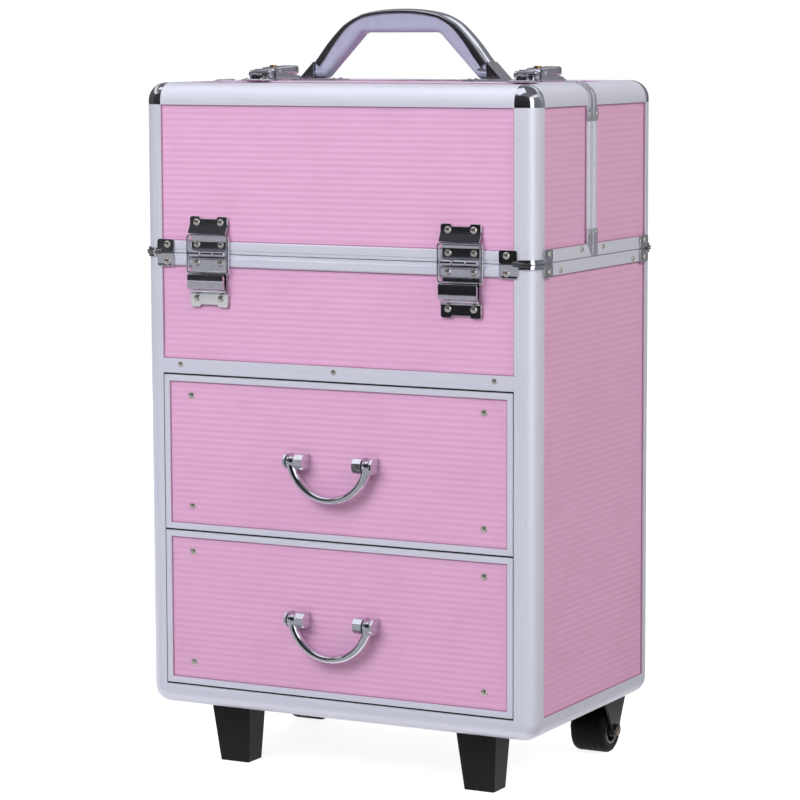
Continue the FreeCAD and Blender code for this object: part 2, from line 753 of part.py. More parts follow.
def build_latches():
    """Latch bases and levers behind the split, keepers in front of it."""
    bases = []
    keepers = []
    rear = y_split + split_gap / 2
    front = y_split - split_gap / 2
    for x_sign, name in ((-1, "left"), (1, "right")):
        x = x_sign * latch_half_spacing
        axis = Vector(x, rear + lever_axis_back, z_top + lever_axis_height)
        plate = block((x - latch_half_width, x + latch_half_width),
                      (rear + latch_split_clear, rear + latch_base_length), (z_top, z_top + latch_plate))
        ear_in = lever_half_width + lever_ear_gap
        pieces = [plate]
        for sign in (-1, 1):
            limits = (x + sign * ear_in, x + sign * (ear_in + lever_ear_thickness))
            pieces.append(block(limits, (rear + latch_split_clear, axis.y + lever_axis_back / 2),
                                (z_top, axis.z + lever_pin_radius + lever_ear_cover)))
        pieces.append(rod(axis - axis_x * ear_in, axis_x, lever_pin_radius, 2 * ear_in))
        bases.append(fused(pieces))

        start = rear + lever_start
        outline = [(0, lever_low), (lever_length, lever_heel_low), (lever_length, lever_heel_high),
                   (lever_nose, lever_high), (0, lever_high - lever_nose)]
        lever_width = axis_x * (2 * lever_half_width)
        lever = prism(outline, Vector(x - lever_half_width, start, z_top), axis_y, axis_z, lever_width)
        crosswise = [e for e in lever.Edges if abs(e.Length - 2 * lever_half_width) < touch]
        heel = [e for e in crosswise if e.CenterOfMass.y > axis.y]
        lever = lever.makeFillet(lever_edge_round, heel)
        plug_rise = (lever_heel_high - lever_high) * plug_back / lever_length
        plug_top = z_top + lever_high + plug_rise + plug_proud
        plug_place = Vector(x, rear + plug_back, plug_top)
        seat = rod(plug_place, -axis_z, plug_radius + axle_fit, plug_depth + plug_proud)
        bore = rod(axis - axis_x * lever_half_width, axis_x, lever_pin_radius + hinge_fit,
                   2 * lever_half_width)
        parts[name + "_latch_lever"] = lever.cut(seat).cut(bore)
        parts[name + "_key_plug"] = rod(plug_place, -axis_z, plug_radius, plug_depth + plug_proud)

        keeper_plate = block((x - latch_half_width, x + latch_half_width),
                             (front - latch_split_clear, front - keeper_length),
                             (z_top, z_top + latch_plate))
        hook = prism([(0, 0), (latch_plate, 0), (latch_plate, keeper_hook_height - latch_plate),
                      (keeper_hook_depth, keeper_hook_height - latch_plate),
                      (keeper_hook_depth, keeper_hook_height), (0, keeper_hook_height)],
                     Vector(x - keeper_hook_half, front - latch_split_clear, z_top), -axis_y, axis_z,
                     axis_x * (2 * keeper_hook_half))
        keepers.append(fused([keeper_plate, hook]))
    parts["latch_keepers"] = group(keepers)
    return bases


def build_drawer(name, low, high):
    """Drawer box on side ledges, behind a framed ribbed front with a swinging bail."""
    half = post_inner - drawer_side_gap
    inner = half - drawer_frame_width
    frame_back = y_front + drawer_frame_depth
    middle = (low + high) / 2
    outer_corners = [(-half, low), (half, low), (half, high), (-half, high)]
    inner_corners = [(-inner, low + drawer_frame_width), (inner, low + drawer_frame_width),
                     (inner, high - drawer_frame_width), (-inner, high - drawer_frame_width)]
    bars = []
    for index in range(4):
        after = (index + 1) % 4
        bar = [outer_corners[index], outer_corners[after], inner_corners[after], inner_corners[index]]
        bars.append(prism(bar, Vector(0, y_front, 0), axis_x, axis_z, axis_y * drawer_frame_depth))
    panel_front = y_front + drawer_panel_recess
    panel = block((-inner, inner), (panel_front, panel_front + panel_thickness),
                  (low + drawer_frame_width, high - drawer_frame_width))

    box_low = low + drawer_box_lift
    box_high = high - drawer_wall_drop
    back = y_back - drawer_back_gap
    front_wall = block((-inner, inner), (panel_front + panel_thickness, frame_back),
                       (low + drawer_frame_width, high - drawer_frame_width))
    tub_half = half - runner_width
    tub_inner = tub_half - drawer_wall
    tub = block((-tub_half, tub_half), (frame_back, back), (box_low, box_high))
    tub = tub.cut(block((-tub_inner, tub_inner), (frame_back + drawer_wall, back - drawer_wall),
                        (box_low + drawer_wall, box_high)))
    ledge_low = low + runner_lift
    ledge_high = ledge_low + runner_thickness
    start = y_front + edge_face + running_gap
    ledges = [block((sign * tub_half, sign * half), (start, back), (ledge_low, ledge_high))
              for sign in (-1, 1)]
    parts[name + "_box"] = fused([front_wall, tub] + ledges)
    parts[name + "_front_panel"] = panel
    parts[name + "_frame"] = group(bars)

    axis_at = panel_front - pull_standoff
    slot = pull_eye_width / 2 + running_gap
    posts = []
    high_face, low_face = pull_lug_half_height, pull_lug_half_height - pull_lug_chamfer
    shoulder = pull_lug_reach - pull_lug_chamfer
    profile = [(0, -high_face), (shoulder, -high_face), (pull_lug_reach, -low_face),
               (pull_lug_reach, low_face), (shoulder, high_face), (0, high_face)]
    for sign in (-1, 1):
        centre = Vector(sign * pull_half_spacing, axis_at, middle)
        lugs = [rod(centre - axis_x * slot, axis_x, pull_pin_radius, 2 * slot)]
        for turn, width in ((sign, pull_lug_outer), (-sign, pull_lug_inner)):
            foot = Vector(centre.x + turn * slot, panel_front, middle)
            lugs.append(prism(profile, foot, -axis_y, axis_z, axis_x * (turn * width)))
        posts.append(fused(lugs))
    parts[name + "_pull_posts"] = group(posts)

    half_span, drop, turn_radius = pull_half_spacing, bail_drop, bail_side_radius
    side_centre = half_span - turn_radius
    rise = (side_centre ** 2 - (drop - turn_radius) ** 2) / (2 * (drop - turn_radius))
    big = drop + rise
    reach = math.hypot(side_centre, rise)
    meet = (side_centre / reach * big, rise - rise / reach * big)
    lean = math.atan2(-meet[1], meet[0] - side_centre) / 2
    side_middle = (side_centre + turn_radius * math.cos(lean), -turn_radius * math.sin(lean))

    def at(x, z):
        return Vector(x, axis_at, middle + z)

    path = Part.Wire([arc(at(half_span, 0), at(*side_middle), at(*meet)),
                      arc(at(*meet), at(0, -drop), at(-meet[0], meet[1])),
                      arc(at(-meet[0], meet[1]), at(-side_middle[0], side_middle[1]), at(-half_span, 0))])
    oval = Part.Ellipse(at(half_span, 0) - axis_y * bail_half_depth,
                        at(half_span + bail_half_width, 0), at(half_span, 0))
    section = Part.Wire(oval.toShape())
    bail = path.makePipeShell([section], True, False)
    eyes = [rod(at(sign * half_span - pull_eye_width / 2, 0), axis_x, pull_eye_radius, pull_eye_width)
            for sign in (-1, 1)]
    holes = [rod(at(sign * half_span - pull_eye_width / 2, 0), axis_x, pull_pin_radius + hinge_fit,
                 pull_eye_width) for sign in (-1, 1)]
    parts[name + "_bail"] = fused([bail] + eyes).cut(group(holes))

    runners = []
    inside = (ledge_low - running_gap, ledge_high + running_gap)
    outside = (inside[0] - runner_thickness, inside[1] + runner_thickness)
    length = (start, y_back - edge_face - wall_depth)
    for sign in (-1, 1):
        wall = sign * (x_out - panel_inner)
        channel = block((sign * (tub_half + running_gap), wall), length, outside)
        groove = block((sign * tub_half, wall - sign * runner_thickness), length, inside)
        runners.append(channel.cut(groove))
    return runners


def build_drawers():
    low = z_bottom + edge_face + drawer_gap
    height = (rail_bottom - low - 2 * drawer_gap) / 2
    runners = build_drawer("lower_drawer", low, low + height)
    runners += build_drawer("upper_drawer", low + height + drawer_gap, rail_bottom - drawer_gap)
    parts["drawer_runners"] = group(runners)


def build_pull_handle():
    """Telescopic handle: sleeves on the back, sliding tubes, grip and release button."""
    wall_y = y_back - edge_skin
    low = z_bottom + sleeve_low
    high = z_seam - sleeve_top_below_seam
    y_mid = wall_y + sleeve_depth / 2
    grip_top = z_seam - grip_top_below_seam
    grip_low = grip_top - grip_bar_height

    def tube(x, width, depth, wall, z):
        outer = block((x - width / 2, x + width / 2), (y_mid - depth / 2, y_mid + depth / 2), z)
        return outer.cut(block((x - width / 2 + wall, x + width / 2 - wall),
                               (y_mid - depth / 2 + wall, y_mid + depth / 2 - wall), z))

    inset = 2 * (sleeve_wall + slide_fit)
    tube_width = sleeve_width - inset
    tube_depth = sleeve_depth - inset
    sleeves = []
    tubes = []
    clamps = []
    openings = []
    for sign in (-1, 1):
        x = sign * pull_tube_half_spacing
        sleeves.append(tube(x, sleeve_width, sleeve_depth, sleeve_wall, (low, high)))
        tubes.append(tube(x, tube_width, tube_depth, tube_wall, (low + tube_foot_gap, grip_low)))
        clamp = block((x - sleeve_width / 2 - foot_clamp_side, x + sleeve_width / 2 + foot_clamp_side),
                      (wall_y, wall_y + sleeve_depth + foot_clamp_side), (low, low + foot_clamp_height))
        clamps.append(clamp.cut(block((x - sleeve_width / 2, x + sleeve_width / 2),
                                      (wall_y, wall_y + sleeve_depth), (low, low + foot_clamp_height))))
        openings.append(block((x - sleeve_width / 2, x + sleeve_width / 2), (wall_y, wall_y + sleeve_depth),
                              (high - collar_height, high)))
    collar = block((-collar_half_width, collar_half_width), (wall_y, wall_y + collar_out),
                   (high - collar_height, high)).cut(group(openings))
    parts["pull_handle_sleeves"] = group(sleeves + clamps + [collar])
    parts["pull_handle_tubes"] = group(tubes)

    bar = block((-grip_bar_half, grip_bar_half), (y_back + running_gap, wall_y + grip_bar_out),
                (grip_low, grip_top))
    ends = [e for e in bar.Edges if abs(e.CenterOfMass.x) < touch and e.CenterOfMass.y > y_mid]
    bar = bar.makeFillet(grip_bar_round, ends)
    button_y = (y_back + wall_y + grip_bar_out) / 2
    well = block((-button_half_length - button_fit, button_half_length + button_fit),
                 (button_y - button_half_width - button_fit, button_y + button_half_width + button_fit),
                 (grip_top - button_depth - button_travel_room + button_proud, grip_top))
    parts["pull_handle_grip"] = bar.cut(well)
    parts["pull_handle_button"] = block((-button_half_length, button_half_length),
                                        (button_y - button_half_width, button_y + button_half_width),
                                        (grip_top + button_proud - button_depth, grip_top + button_proud))


build_case_body()
for lid_side in (-1, 1):
    build_lid(lid_side)
    build_trays(lid_side)
build_feet()
build_casters()
top_fittings = build_carry_handle()
parts["rear_lid_top_fittings"] = group(build_latches() + top_fittings)
build_drawers()
build_pull_handle()

os.makedirs("parts", exist_ok=True)
for node, shape in parts.items():
    shape.exportStep(os.path.join("parts", node + ".step"))
    print(node, len(shape.Solids), round(shape.Volume))
print(len(parts), "nodes")
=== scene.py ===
import math
import bpy
import bmesh
from mathutils import Vector, Matrix


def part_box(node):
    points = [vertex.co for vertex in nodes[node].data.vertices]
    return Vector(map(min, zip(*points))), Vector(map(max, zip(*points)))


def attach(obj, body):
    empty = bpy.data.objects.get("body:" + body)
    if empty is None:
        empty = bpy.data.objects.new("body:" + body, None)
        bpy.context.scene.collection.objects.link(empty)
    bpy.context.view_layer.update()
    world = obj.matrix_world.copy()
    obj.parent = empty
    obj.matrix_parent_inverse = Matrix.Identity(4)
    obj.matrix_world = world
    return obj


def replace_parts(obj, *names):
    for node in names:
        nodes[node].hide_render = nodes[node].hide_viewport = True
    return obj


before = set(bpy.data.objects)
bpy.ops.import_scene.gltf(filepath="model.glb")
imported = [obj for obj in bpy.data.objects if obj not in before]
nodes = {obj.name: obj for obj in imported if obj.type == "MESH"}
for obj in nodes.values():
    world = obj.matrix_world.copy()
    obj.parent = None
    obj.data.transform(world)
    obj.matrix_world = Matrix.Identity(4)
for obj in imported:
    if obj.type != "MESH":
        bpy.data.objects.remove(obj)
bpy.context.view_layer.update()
mm = 0.001
print("frame loaded,", len(nodes), "CAD nodes")


def millimetres(corners):
    return [[c / mm for c in corner] for corner in corners]


# sizes of the case in millimetres, as is every mesh until piece() scales it; most come from the frame
case = {"splitRim": 9.4, "hingeOut": 2.8}
(_, front, bottom), (side, back, postFoot) = millimetres(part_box("bottom_edge_frame"))
(_, _, rimLow), (_, _, rimTop) = millimetres(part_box("body_rims"))
(_, _, lidFoot), (_, frontEnd, top) = millimetres(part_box("front_lid_edge_trims"))
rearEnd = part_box("rear_lid_edge_trims")[0][1] / mm
seam = (rimTop + lidFoot) / 2
case.update({"side": side, "front": front, "back": back, "bottom": bottom, "top": top, "edge": postFoot - bottom,
             "seam": seam, "rim": seam - rimLow, "split": (frontEnd + rearEnd) / 2,
             "railTop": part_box("front_cross_rail")[1][2] / mm, "hingeAxis": back + case["hingeOut"],
             "skin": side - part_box("body_side_panels")[1][0] / mm})


# helpers
def linear(hexValue):
    parts = [int(hexValue[i:i + 2], 16) / 255 for i in (0, 2, 4)]
    return tuple(c / 12.92 if c <= 0.04045 else ((c + 0.055) / 1.055) ** 2.4 for c in parts) + (1.0,)


def addNode(tree, kind, settings=(), links=(), stops=()):
    item = tree.nodes.new(kind)
    for key, value in dict(settings).items():
        if isinstance(key, int) or key in item.inputs:
            item.inputs[key].default_value = value
        else:
            setattr(item, key, value)
    for key, socket in dict(links).items():
        tree.links.new(socket, item.inputs[key])
    for index, (position, colour) in enumerate(stops):
        stop = item.color_ramp.elements[index]
        stop.position, stop.color = position, linear(colour)
    return item


def newMaterial(name, settings):
    material = bpy.data.materials.new(name)
    material.use_nodes = True
    tree = material.node_tree
    shader = tree.nodes["Principled BSDF"]
    for key, value in settings.items():
        shader.inputs[key].default_value = value
    place = addNode(tree, "ShaderNodeTexCoord").outputs["Object"]
    return material, tree, shader, place


def surface(tree, shader, pattern, colours, gloss, depth, edge=0.0):  # gloss is the range of roughness
    colour = addNode(tree, "ShaderNodeValToRGB", links={"Fac": pattern}, stops=((0.3, colours[0]), (0.7, colours[1])))
    rough = addNode(tree, "ShaderNodeMapRange", {"To Min": gloss[0], "To Max": gloss[1]}, {"Value": pattern})
    bump = addNode(tree, "ShaderNodeBump", {"Strength": 1.0, "Distance": depth * mm}, {"Height": pattern})
    if edge:  # pressed, drawn and moulded pieces have a small radius on every edge
        soft = addNode(tree, "ShaderNodeBevel", {"Radius": edge * mm, "samples": 4})
        tree.links.new(soft.outputs["Normal"], bump.inputs["Normal"])
    tree.links.new(colour.outputs["Color"], shader.inputs["Base Color"])
    tree.links.new(rough.outputs["Result"], shader.inputs["Roughness"])
    tree.links.new(bump.outputs["Normal"], shader.inputs["Normal"])


noise, cells = "ShaderNodeTexNoise", "ShaderNodeTexVoronoi"


def finish(name, settings, kind, size, colours, gloss, depth, detail=0.0, edge=0.0):  # sizes in millimetres
    material, tree, shader, place = newMaterial(name, settings)
    pattern = addNode(tree, kind, {"Scale": 1 / (size * mm), "Detail": detail}, {"Vector": place})
    surface(tree, shader, pattern.outputs[0], colours, gloss, depth, edge)
    return material


# materials
# ABS laminate, embossed: the ribs are in the mesh, this adds a fine pebble and a little unevenness of colour
laminate = {"cloud": 40.0, "pebble": 1.1, "pebbleShare": 0.4}
ribbedAbs, tree, shader, place = newMaterial("ribbedAbsLaminate", {"IOR": 1.5, "Specular IOR Level": 0.3})
cloud = addNode(tree, noise, {"Scale": 1 / (laminate["cloud"] * mm), "Detail": 2.0}, {"Vector": place})
pebble = addNode(tree, noise, {"Scale": 1 / (laminate["pebble"] * mm), "Detail": 3.0}, {"Vector": place})
blend = addNode(tree, "ShaderNodeMath", {"operation": "MULTIPLY_ADD", 1: laminate["pebbleShare"]},
                {0: pebble.outputs["Fac"]})
tree.links.new(cloud.outputs["Fac"], blend.inputs[2])
surface(tree, shader, blend.outputs[0], colours=("E0A9D2", "E6B0D9"), gloss=(0.42, 0.5), depth=0.012)

# anodised aluminium, extruded: soft satin glow with faint die lines along the length of each bar
aluminium = {"postX": 155.5, "postY": 98.5, "lines": 1.4, "stretch": 0.02}  # bars beyond both places stand upright
satinAluminium, tree, shader, place = newMaterial("satinAnodisedAluminium", {"Metallic": 0.35})
spot = addNode(tree, "ShaderNodeSeparateXYZ", links={"Vector": place}).outputs
upright = []
for axis, limit in (("X", aluminium["postX"]), ("Y", aluminium["postY"])):
    far = addNode(tree, "ShaderNodeMath", {"operation": "ABSOLUTE"}, {0: spot[axis]})
    beyond = addNode(tree, "ShaderNodeMath", {"operation": "GREATER_THAN", 1: limit * mm}, {0: far.outputs[0]})
    upright.append(beyond.outputs[0])
post = addNode(tree, "ShaderNodeMath", {"operation": "MULTIPLY"}, {0: upright[0], 1: upright[1]})
stretch = aluminium["stretch"]
across = addNode(tree, "ShaderNodeMapping", {"Scale": (stretch, stretch, 1)}, {"Vector": place})
along = addNode(tree, "ShaderNodeMapping", {"Scale": (1, 1, stretch)}, {"Vector": place})
drawn = addNode(tree, "ShaderNodeMix", {"data_type": "VECTOR"},
                {0: post.outputs[0], 4: across.outputs[0], 5: along.outputs[0]})
lines = addNode(tree, noise, {"Scale": 1 / (aluminium["lines"] * mm), "Detail": 3.0}, {"Vector": drawn.outputs[1]})
surface(tree, shader, lines.outputs["Fac"], colours=("E3E4F5", "E9EAFA"), gloss=(0.42, 0.47), depth=0.004, edge=0.35)

# chromed steel, pressed and plated: near mirror with slight orange peel
chrome = finish("polishedChrome", {"Metallic": 1.0}, noise, size=5, detail=2.0, colours=("D2D3D6", "DCDDE0"),
                gloss=(0.06, 0.11), depth=0.02, edge=0.4)

# die-cast zinc, satin chromed: clouded mirror with a fine cast grain
satinChrome = finish("satinChromedZinc", {"Metallic": 1.0}, noise, size=1.3, detail=4.0, colours=("CBCBCF", "DEDEE2"),
                     gloss=(0.2, 0.32), depth=0.05, edge=0.4)

# nickel-plated steel strip, pressed and tumbled: paler and duller than the chrome
pressedSteel = finish("tumbledPressedSteel", {"Metallic": 0.8}, noise, size=1.0, detail=4.0,
                      colours=("C4C4CC", "E2E2E8"), gloss=(0.26, 0.4), depth=0.06, edge=0.35)

# nickel-plated rivet, headed in a die: softer than the chrome, slightly warm
nickel = finish("nickelPlatedSteel", {"Metallic": 0.92}, noise, size=1.5, detail=2.0, colours=("D8D2C8", "EAE5DC"),
                gloss=(0.2, 0.3), depth=0.02)

# brass, turned and buffed: warm, with a soft shine
brass = finish("buffedBrass", {"Metallic": 1.0}, noise, size=0.8, detail=2.0, colours=("C0964A", "DDB566"),
               gloss=(0.16, 0.28), depth=0.02, edge=0.3)

# ABS grip, injection moulded and satin: lilac grey, nearly even
lilacAbs = finish("mouldedLilacAbs", {"IOR": 1.5}, noise, size=8, detail=3.0, colours=("A9AEC6", "B0B5CC"),
                  gloss=(0.28, 0.36), depth=0.01, edge=0.6)

# black polypropylene, moulded with a fine leather grain
blackPlastic = finish("mouldedBlackPolypropylene", {"IOR": 1.49, "Specular IOR Level": 0.2}, cells, size=1.3,
                      colours=("070708", "0E0E10"), gloss=(0.45, 0.58), depth=0.05, edge=0.8)

# tyre rubber, moulded: dull, with a little dust
tyreRubber = finish("mouldedTyreRubber", {"IOR": 1.5, "Specular IOR Level": 0.15}, noise, size=5, detail=4.0,
                    colours=("050506", "0B0B0D"), gloss=(0.55, 0.7), depth=0.04)

# nylon hub, moulded: dark grey and a little waxy
hubNylon = finish("mouldedGreyNylon", {"IOR": 1.53}, noise, size=3, detail=3.0, colours=("2A292D", "38373B"),
                  gloss=(0.25, 0.4), depth=0.02)

# polyester lining, glued felt: fibres drawn at 1.6 mm so that they show
blackLining = finish("feltedPolyesterLining", {"IOR": 1.45, "Sheen Weight": 0.3}, noise, size=1.6, detail=6.0,
                     colours=("17171A", "2C2C31"), gloss=(0.8, 0.95), depth=0.15)

# mauve strip, dull: a painted shadow line along the edges of the panels
shadowLineMauve = finish("mauvePaintedShadowLine", {"IOR": 1.5, "Specular IOR Level": 0.3}, noise, size=4, detail=2.0,
                    colours=("A87B9A", "B487A6"), gloss=(0.55, 0.65), depth=0.01)

# zinc-plated steel strip and tube: grey, faintly clouded
zincSteel = finish("zincPlatedSteel", {"Metallic": 1.0}, cells, size=5, colours=("AEAFB3", "B9BABF"),
                   gloss=(0.28, 0.36), depth=0.01, edge=0.3)

# blackened steel, turned: dark with a bronze cast where it is rubbed
darkBronze = finish("blackenedTurnedSteel", {"Metallic": 1.0}, noise, size=2.5, detail=3.0,
                    colours=("4A423C", "7C7064"), gloss=(0.25, 0.4), depth=0.02)

# powder-coated steel: black with a fine bumpy skin
powderBlack = finish("powderCoatedSteel", {"IOR": 1.5, "Specular IOR Level": 0.4}, noise, size=1.4, detail=3.0,
                     colours=("121214", "1E1D21"), gloss=(0.34, 0.45), depth=0.04, edge=0.5)
print("materials made")


# mesh helpers, in millimetres
def piece(name, mesh, materials, body, replaced=(), sharp=35):
    mesh.transform(Matrix.Scale(mm, 4))
    bmesh.ops.recalc_face_normals(mesh, faces=mesh.faces)
    data = bpy.data.meshes.new(name)
    mesh.to_mesh(data)
    mesh.free()
    for material in materials:
        data.materials.append(material)
    data.polygons.foreach_set("use_smooth", [True] * len(data.polygons))
    data.set_sharp_from_angle(angle=math.radians(sharp))
    item = bpy.data.objects.new(name, data)
    bpy.context.scene.collection.objects.link(item)
    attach(item, body)
    if replaced:
        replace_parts(item, *replaced)
    return item


def loft(mesh, rings, capped=True):
    loops = [[mesh.verts.new(Vector(spot)) for spot in ring] for ring in rings]
    for first, second in zip(loops, loops[1:]):
        for i in range(len(first)):
            j = (i + 1) % len(first)
            mesh.faces.new([first[i], first[j], second[j], second[i]])
    if capped:
        mesh.faces.new(loops[0])
        mesh.faces.new(loops[-1])


def sweep(mesh, path, profile, side):  # the profile may be a function of the place
    side = Vector(side)
    rings = []
    for i, spot in enumerate(path):
        run = Vector(path[min(i + 1, len(path) - 1)]) - Vector(path[max(i - 1, 0)])
        out = side.cross(run).normalized()
        shape = profile(spot) if callable(profile) else profile
        rings.append([Vector(spot) + out * a + side * b for a, b in shape])
    loft(mesh, rings)


def lathe(mesh, profile, start, direction, segments=20):
    seat = Matrix.Translation(Vector(start)) @ Vector(direction).to_track_quat("Z", "Y").to_matrix().to_4x4()
    rings = []
    for radius, height in profile:
        if radius == 0:
            rings.append([mesh.verts.new(seat @ Vector((0, 0, height)))])
            continue
        angles = [2 * math.pi * step / segments for step in range(segments)]
        rings.append([mesh.verts.new(seat @ Vector((radius * math.cos(a), radius * math.sin(a), height)))
                      for a in angles])
    for inner, outer in zip(rings, rings[1:]):
        for i in range(segments):
            j = (i + 1) % segments
            corners = [inner[i % len(inner)], inner[j % len(inner)], outer[j % len(outer)], outer[i % len(outer)]]
            corners = list(dict.fromkeys(corners))
            if len(corners) > 2:
                mesh.faces.new(corners)


def plate(mesh, outline, origin, across, up, out, thickness, bevel=0.0):
    origin, across, up, out = (Vector(v) for v in (origin, across, up, out))
    low = [mesh.verts.new(origin + across * a + up * b) for a, b in outline]
    high = [mesh.verts.new(v.co + out * thickness) for v in low]
    mesh.faces.new(low)
    cover = mesh.faces.new(high)
    for i in range(len(low)):
        j = (i + 1) % len(low)
        mesh.faces.new([low[i], low[j], high[j], high[i]])
    if bevel:
        bmesh.ops.bevel(mesh, geom=list(cover.edges), offset=bevel, segments=1, affect="EDGES")


def roundRect(halfA, halfB, radius, steps=4):
    spots = []
    for quarter, (a, b) in enumerate(((1, 1), (-1, 1), (-1, -1), (1, -1))):
        for step in range(steps + 1):
            angle = math.pi / 2 * (quarter + step / steps)
            spots.append((a * (halfA - radius) + radius * math.cos(angle),
                          b * (halfB - radius) + radius * math.sin(angle)))
    return spots


def arcThrough(first, middle, last, steps):
    (ax, ay), (bx, by), (cx, cy) = first, middle, last
    d = 2 * (ax * (by - cy) + bx * (cy - ay) + cx * (ay - by))
    sa, sb, sc = ax * ax + ay * ay, bx * bx + by * by, cx * cx + cy * cy
    ox = (sa * (by - cy) + sb * (cy - ay) + sc * (ay - by)) / d
    oy = (sa * (cx - bx) + sb * (ax - cx) + sc * (bx - ax)) / d
    radius = math.hypot(ax - ox, ay - oy)
    start, end = math.atan2(ay - oy, ax - ox), math.atan2(cy - oy, cx - ox)
    end = start + (end - start + math.pi) % (2 * math.pi) - math.pi
    return [(ox + radius * math.cos(start + (end - start) * i / steps),
             oy + radius * math.sin(start + (end - start) * i / steps)) for i in range(steps + 1)]


def rivets(name, body, places, radius=3.0, height=1.7):
    dome = [(0, height), (0.38 * radius, 0.95 * height), (0.68 * radius, 0.76 * height),
            (0.88 * radius, 0.45 * height), (radius, 0.12 * height), (radius, -0.4)]
    mesh = bmesh.new()
    for start, direction in places:
        lathe(mesh, dome, start, direction, 16)
    piece(name, mesh, [nickel], body)


# ribbed panels, ribs level on the walls and across the top
ribs = {"pitch": 5.1, "depth": 0.26, "steps": 8, "thickness": 4.0}


def ribbedPanel(name, node, normalAxis, sign, runAxis, stackAxis, body):
    low, high = millimetres(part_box(node))
    outer = high[normalAxis] if sign > 0 else low[normalAxis]
    inner = outer - sign * ribs["thickness"]
    rows = max(1, round((high[stackAxis] - low[stackAxis]) / ribs["pitch"])) * ribs["steps"]
    mesh = bmesh.new()

    def at(depth, stack, run):
        spot = [0.0, 0.0, 0.0]
        spot[normalAxis], spot[stackAxis], spot[runAxis] = depth, stack, run
        return mesh.verts.new(spot)

    front, back = [], []
    for i in range(rows + 1):
        stack = low[stackAxis] + (high[stackAxis] - low[stackAxis]) * i / rows
        wave = 0.5 + 0.5 * math.cos(2 * math.pi * i / ribs["steps"])
        depth = outer - sign * ribs["depth"] * wave
        front.append([at(depth, stack, low[runAxis]), at(depth, stack, high[runAxis])])
    for stack in (low[stackAxis], high[stackAxis]):
        back.append([at(inner, stack, low[runAxis]), at(inner, stack, high[runAxis])])
    for a, b in zip(front, front[1:]):
        mesh.faces.new([a[0], a[1], b[1], b[0]])
    mesh.faces.new([back[0][0], back[0][1], back[1][1], back[1][0]]).material_index = 1
    mesh.faces.new([front[0][0], front[0][1], back[0][1], back[0][0]])
    mesh.faces.new([front[-1][0], front[-1][1], back[1][1], back[1][0]])
    for end in (0, 1):
        mesh.faces.new([row[end] for row in front] + [back[1][end], back[0][end]])
    return piece(name, mesh, [ribbedAbs, blackLining], body, sharp=30)


for name, node, sign, body in (("compartmentFront", "compartment_front_panel", -1, "body"),
                               ("backPanel", "back_panel", 1, "body"),
                               ("frontLidFace", "front_lid_face_panel", -1, "front_lid"),
                               ("rearLidFace", "rear_lid_face_panel", 1, "rear_lid"),
                               ("lowerDrawerFront", "lower_drawer_front_panel", -1, "lower_drawer"),
                               ("upperDrawerFront", "upper_drawer_front_panel", -1, "upper_drawer")):
    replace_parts(ribbedPanel(name, node, 1, sign, 0, 2, body), node)
for name, node, body in (("frontLidTop", "front_lid_top_panel", "front_lid"),
                         ("rearLidTop", "rear_lid_top_panel", "rear_lid")):
    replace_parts(ribbedPanel(name, node, 2, 1, 0, 1, body), node)
for name, node, body in (("bodySide", "body_side_panels", "body"),
                         ("frontLidEnd", "front_lid_end_panels", "front_lid"),
                         ("rearLidEnd", "rear_lid_end_panels", "rear_lid")):
    for sign, hand in ((-1, "Left"), (1, "Right")):
        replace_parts(ribbedPanel(name + hand, node, 0, sign, 1, 2, body), node)
print("ribbed panels made")

# pivot studs of the trays, on the lid ends: rows inwards from the hinge pins and over the seam
stud = {"x": 164.6, "rows": ((23.0, 14.0), (66.0, 56.0)),
        "profile": ((0, 0), (1.5, 0), (1.5, 7.4), (4.0, 7.4), (4.0, 9.9))}
for face, body in ((-1, "front_lid"), (1, "rear_lid")):
    mesh = bmesh.new()
    for hand in (-1, 1):
        for inward, up in stud["rows"]:
            spot = (hand * stud["x"], face * (case["hingeAxis"] - inward), case["seam"] + up)
            lathe(mesh, stud["profile"], spot, (hand, 0, 0), 16)
    piece(body + "Studs", mesh, [zincSteel], body)


# mauve strip round each panel, where it enters the extrusion: a painted shadow line in the step there
shadowLineSize = {"width": 0.8, "height": 0.8, "sunk": 0.1}


def shadowLineRing(mesh, axis, sign, surfaceAt, limits):
    across, up = [a for a in (0, 1, 2) if a != axis]
    (a0, a1), (b0, b1) = limits
    rings = []
    for inset, lift in ((0, 0), (0, shadowLineSize["height"]), (shadowLineSize["width"], shadowLineSize["height"]), (shadowLineSize["width"], 0)):
        ring = []
        for a, b in ((a0 + inset, b0 + inset), (a1 - inset, b0 + inset),
                     (a1 - inset, b1 - inset), (a0 + inset, b1 - inset)):
            spot = [0.0, 0.0, 0.0]
            spot[axis], spot[across], spot[up] = surfaceAt + sign * lift, a, b
            ring.append(spot)
        rings.append(ring)
    loft(mesh, rings + rings[:1], capped=False)
    bmesh.ops.remove_doubles(mesh, verts=mesh.verts, dist=1e-4)


inX, inY = case["side"] - case["edge"], case["back"] - case["edge"]
bodyLow, bodyHigh = case["bottom"] + case["edge"], case["seam"] - case["rim"]
lidLow, lidHigh = case["seam"] + case["rim"], case["top"] - case["edge"]
splitFront, splitRear = case["split"] - case["splitRim"], case["split"] + case["splitRim"]
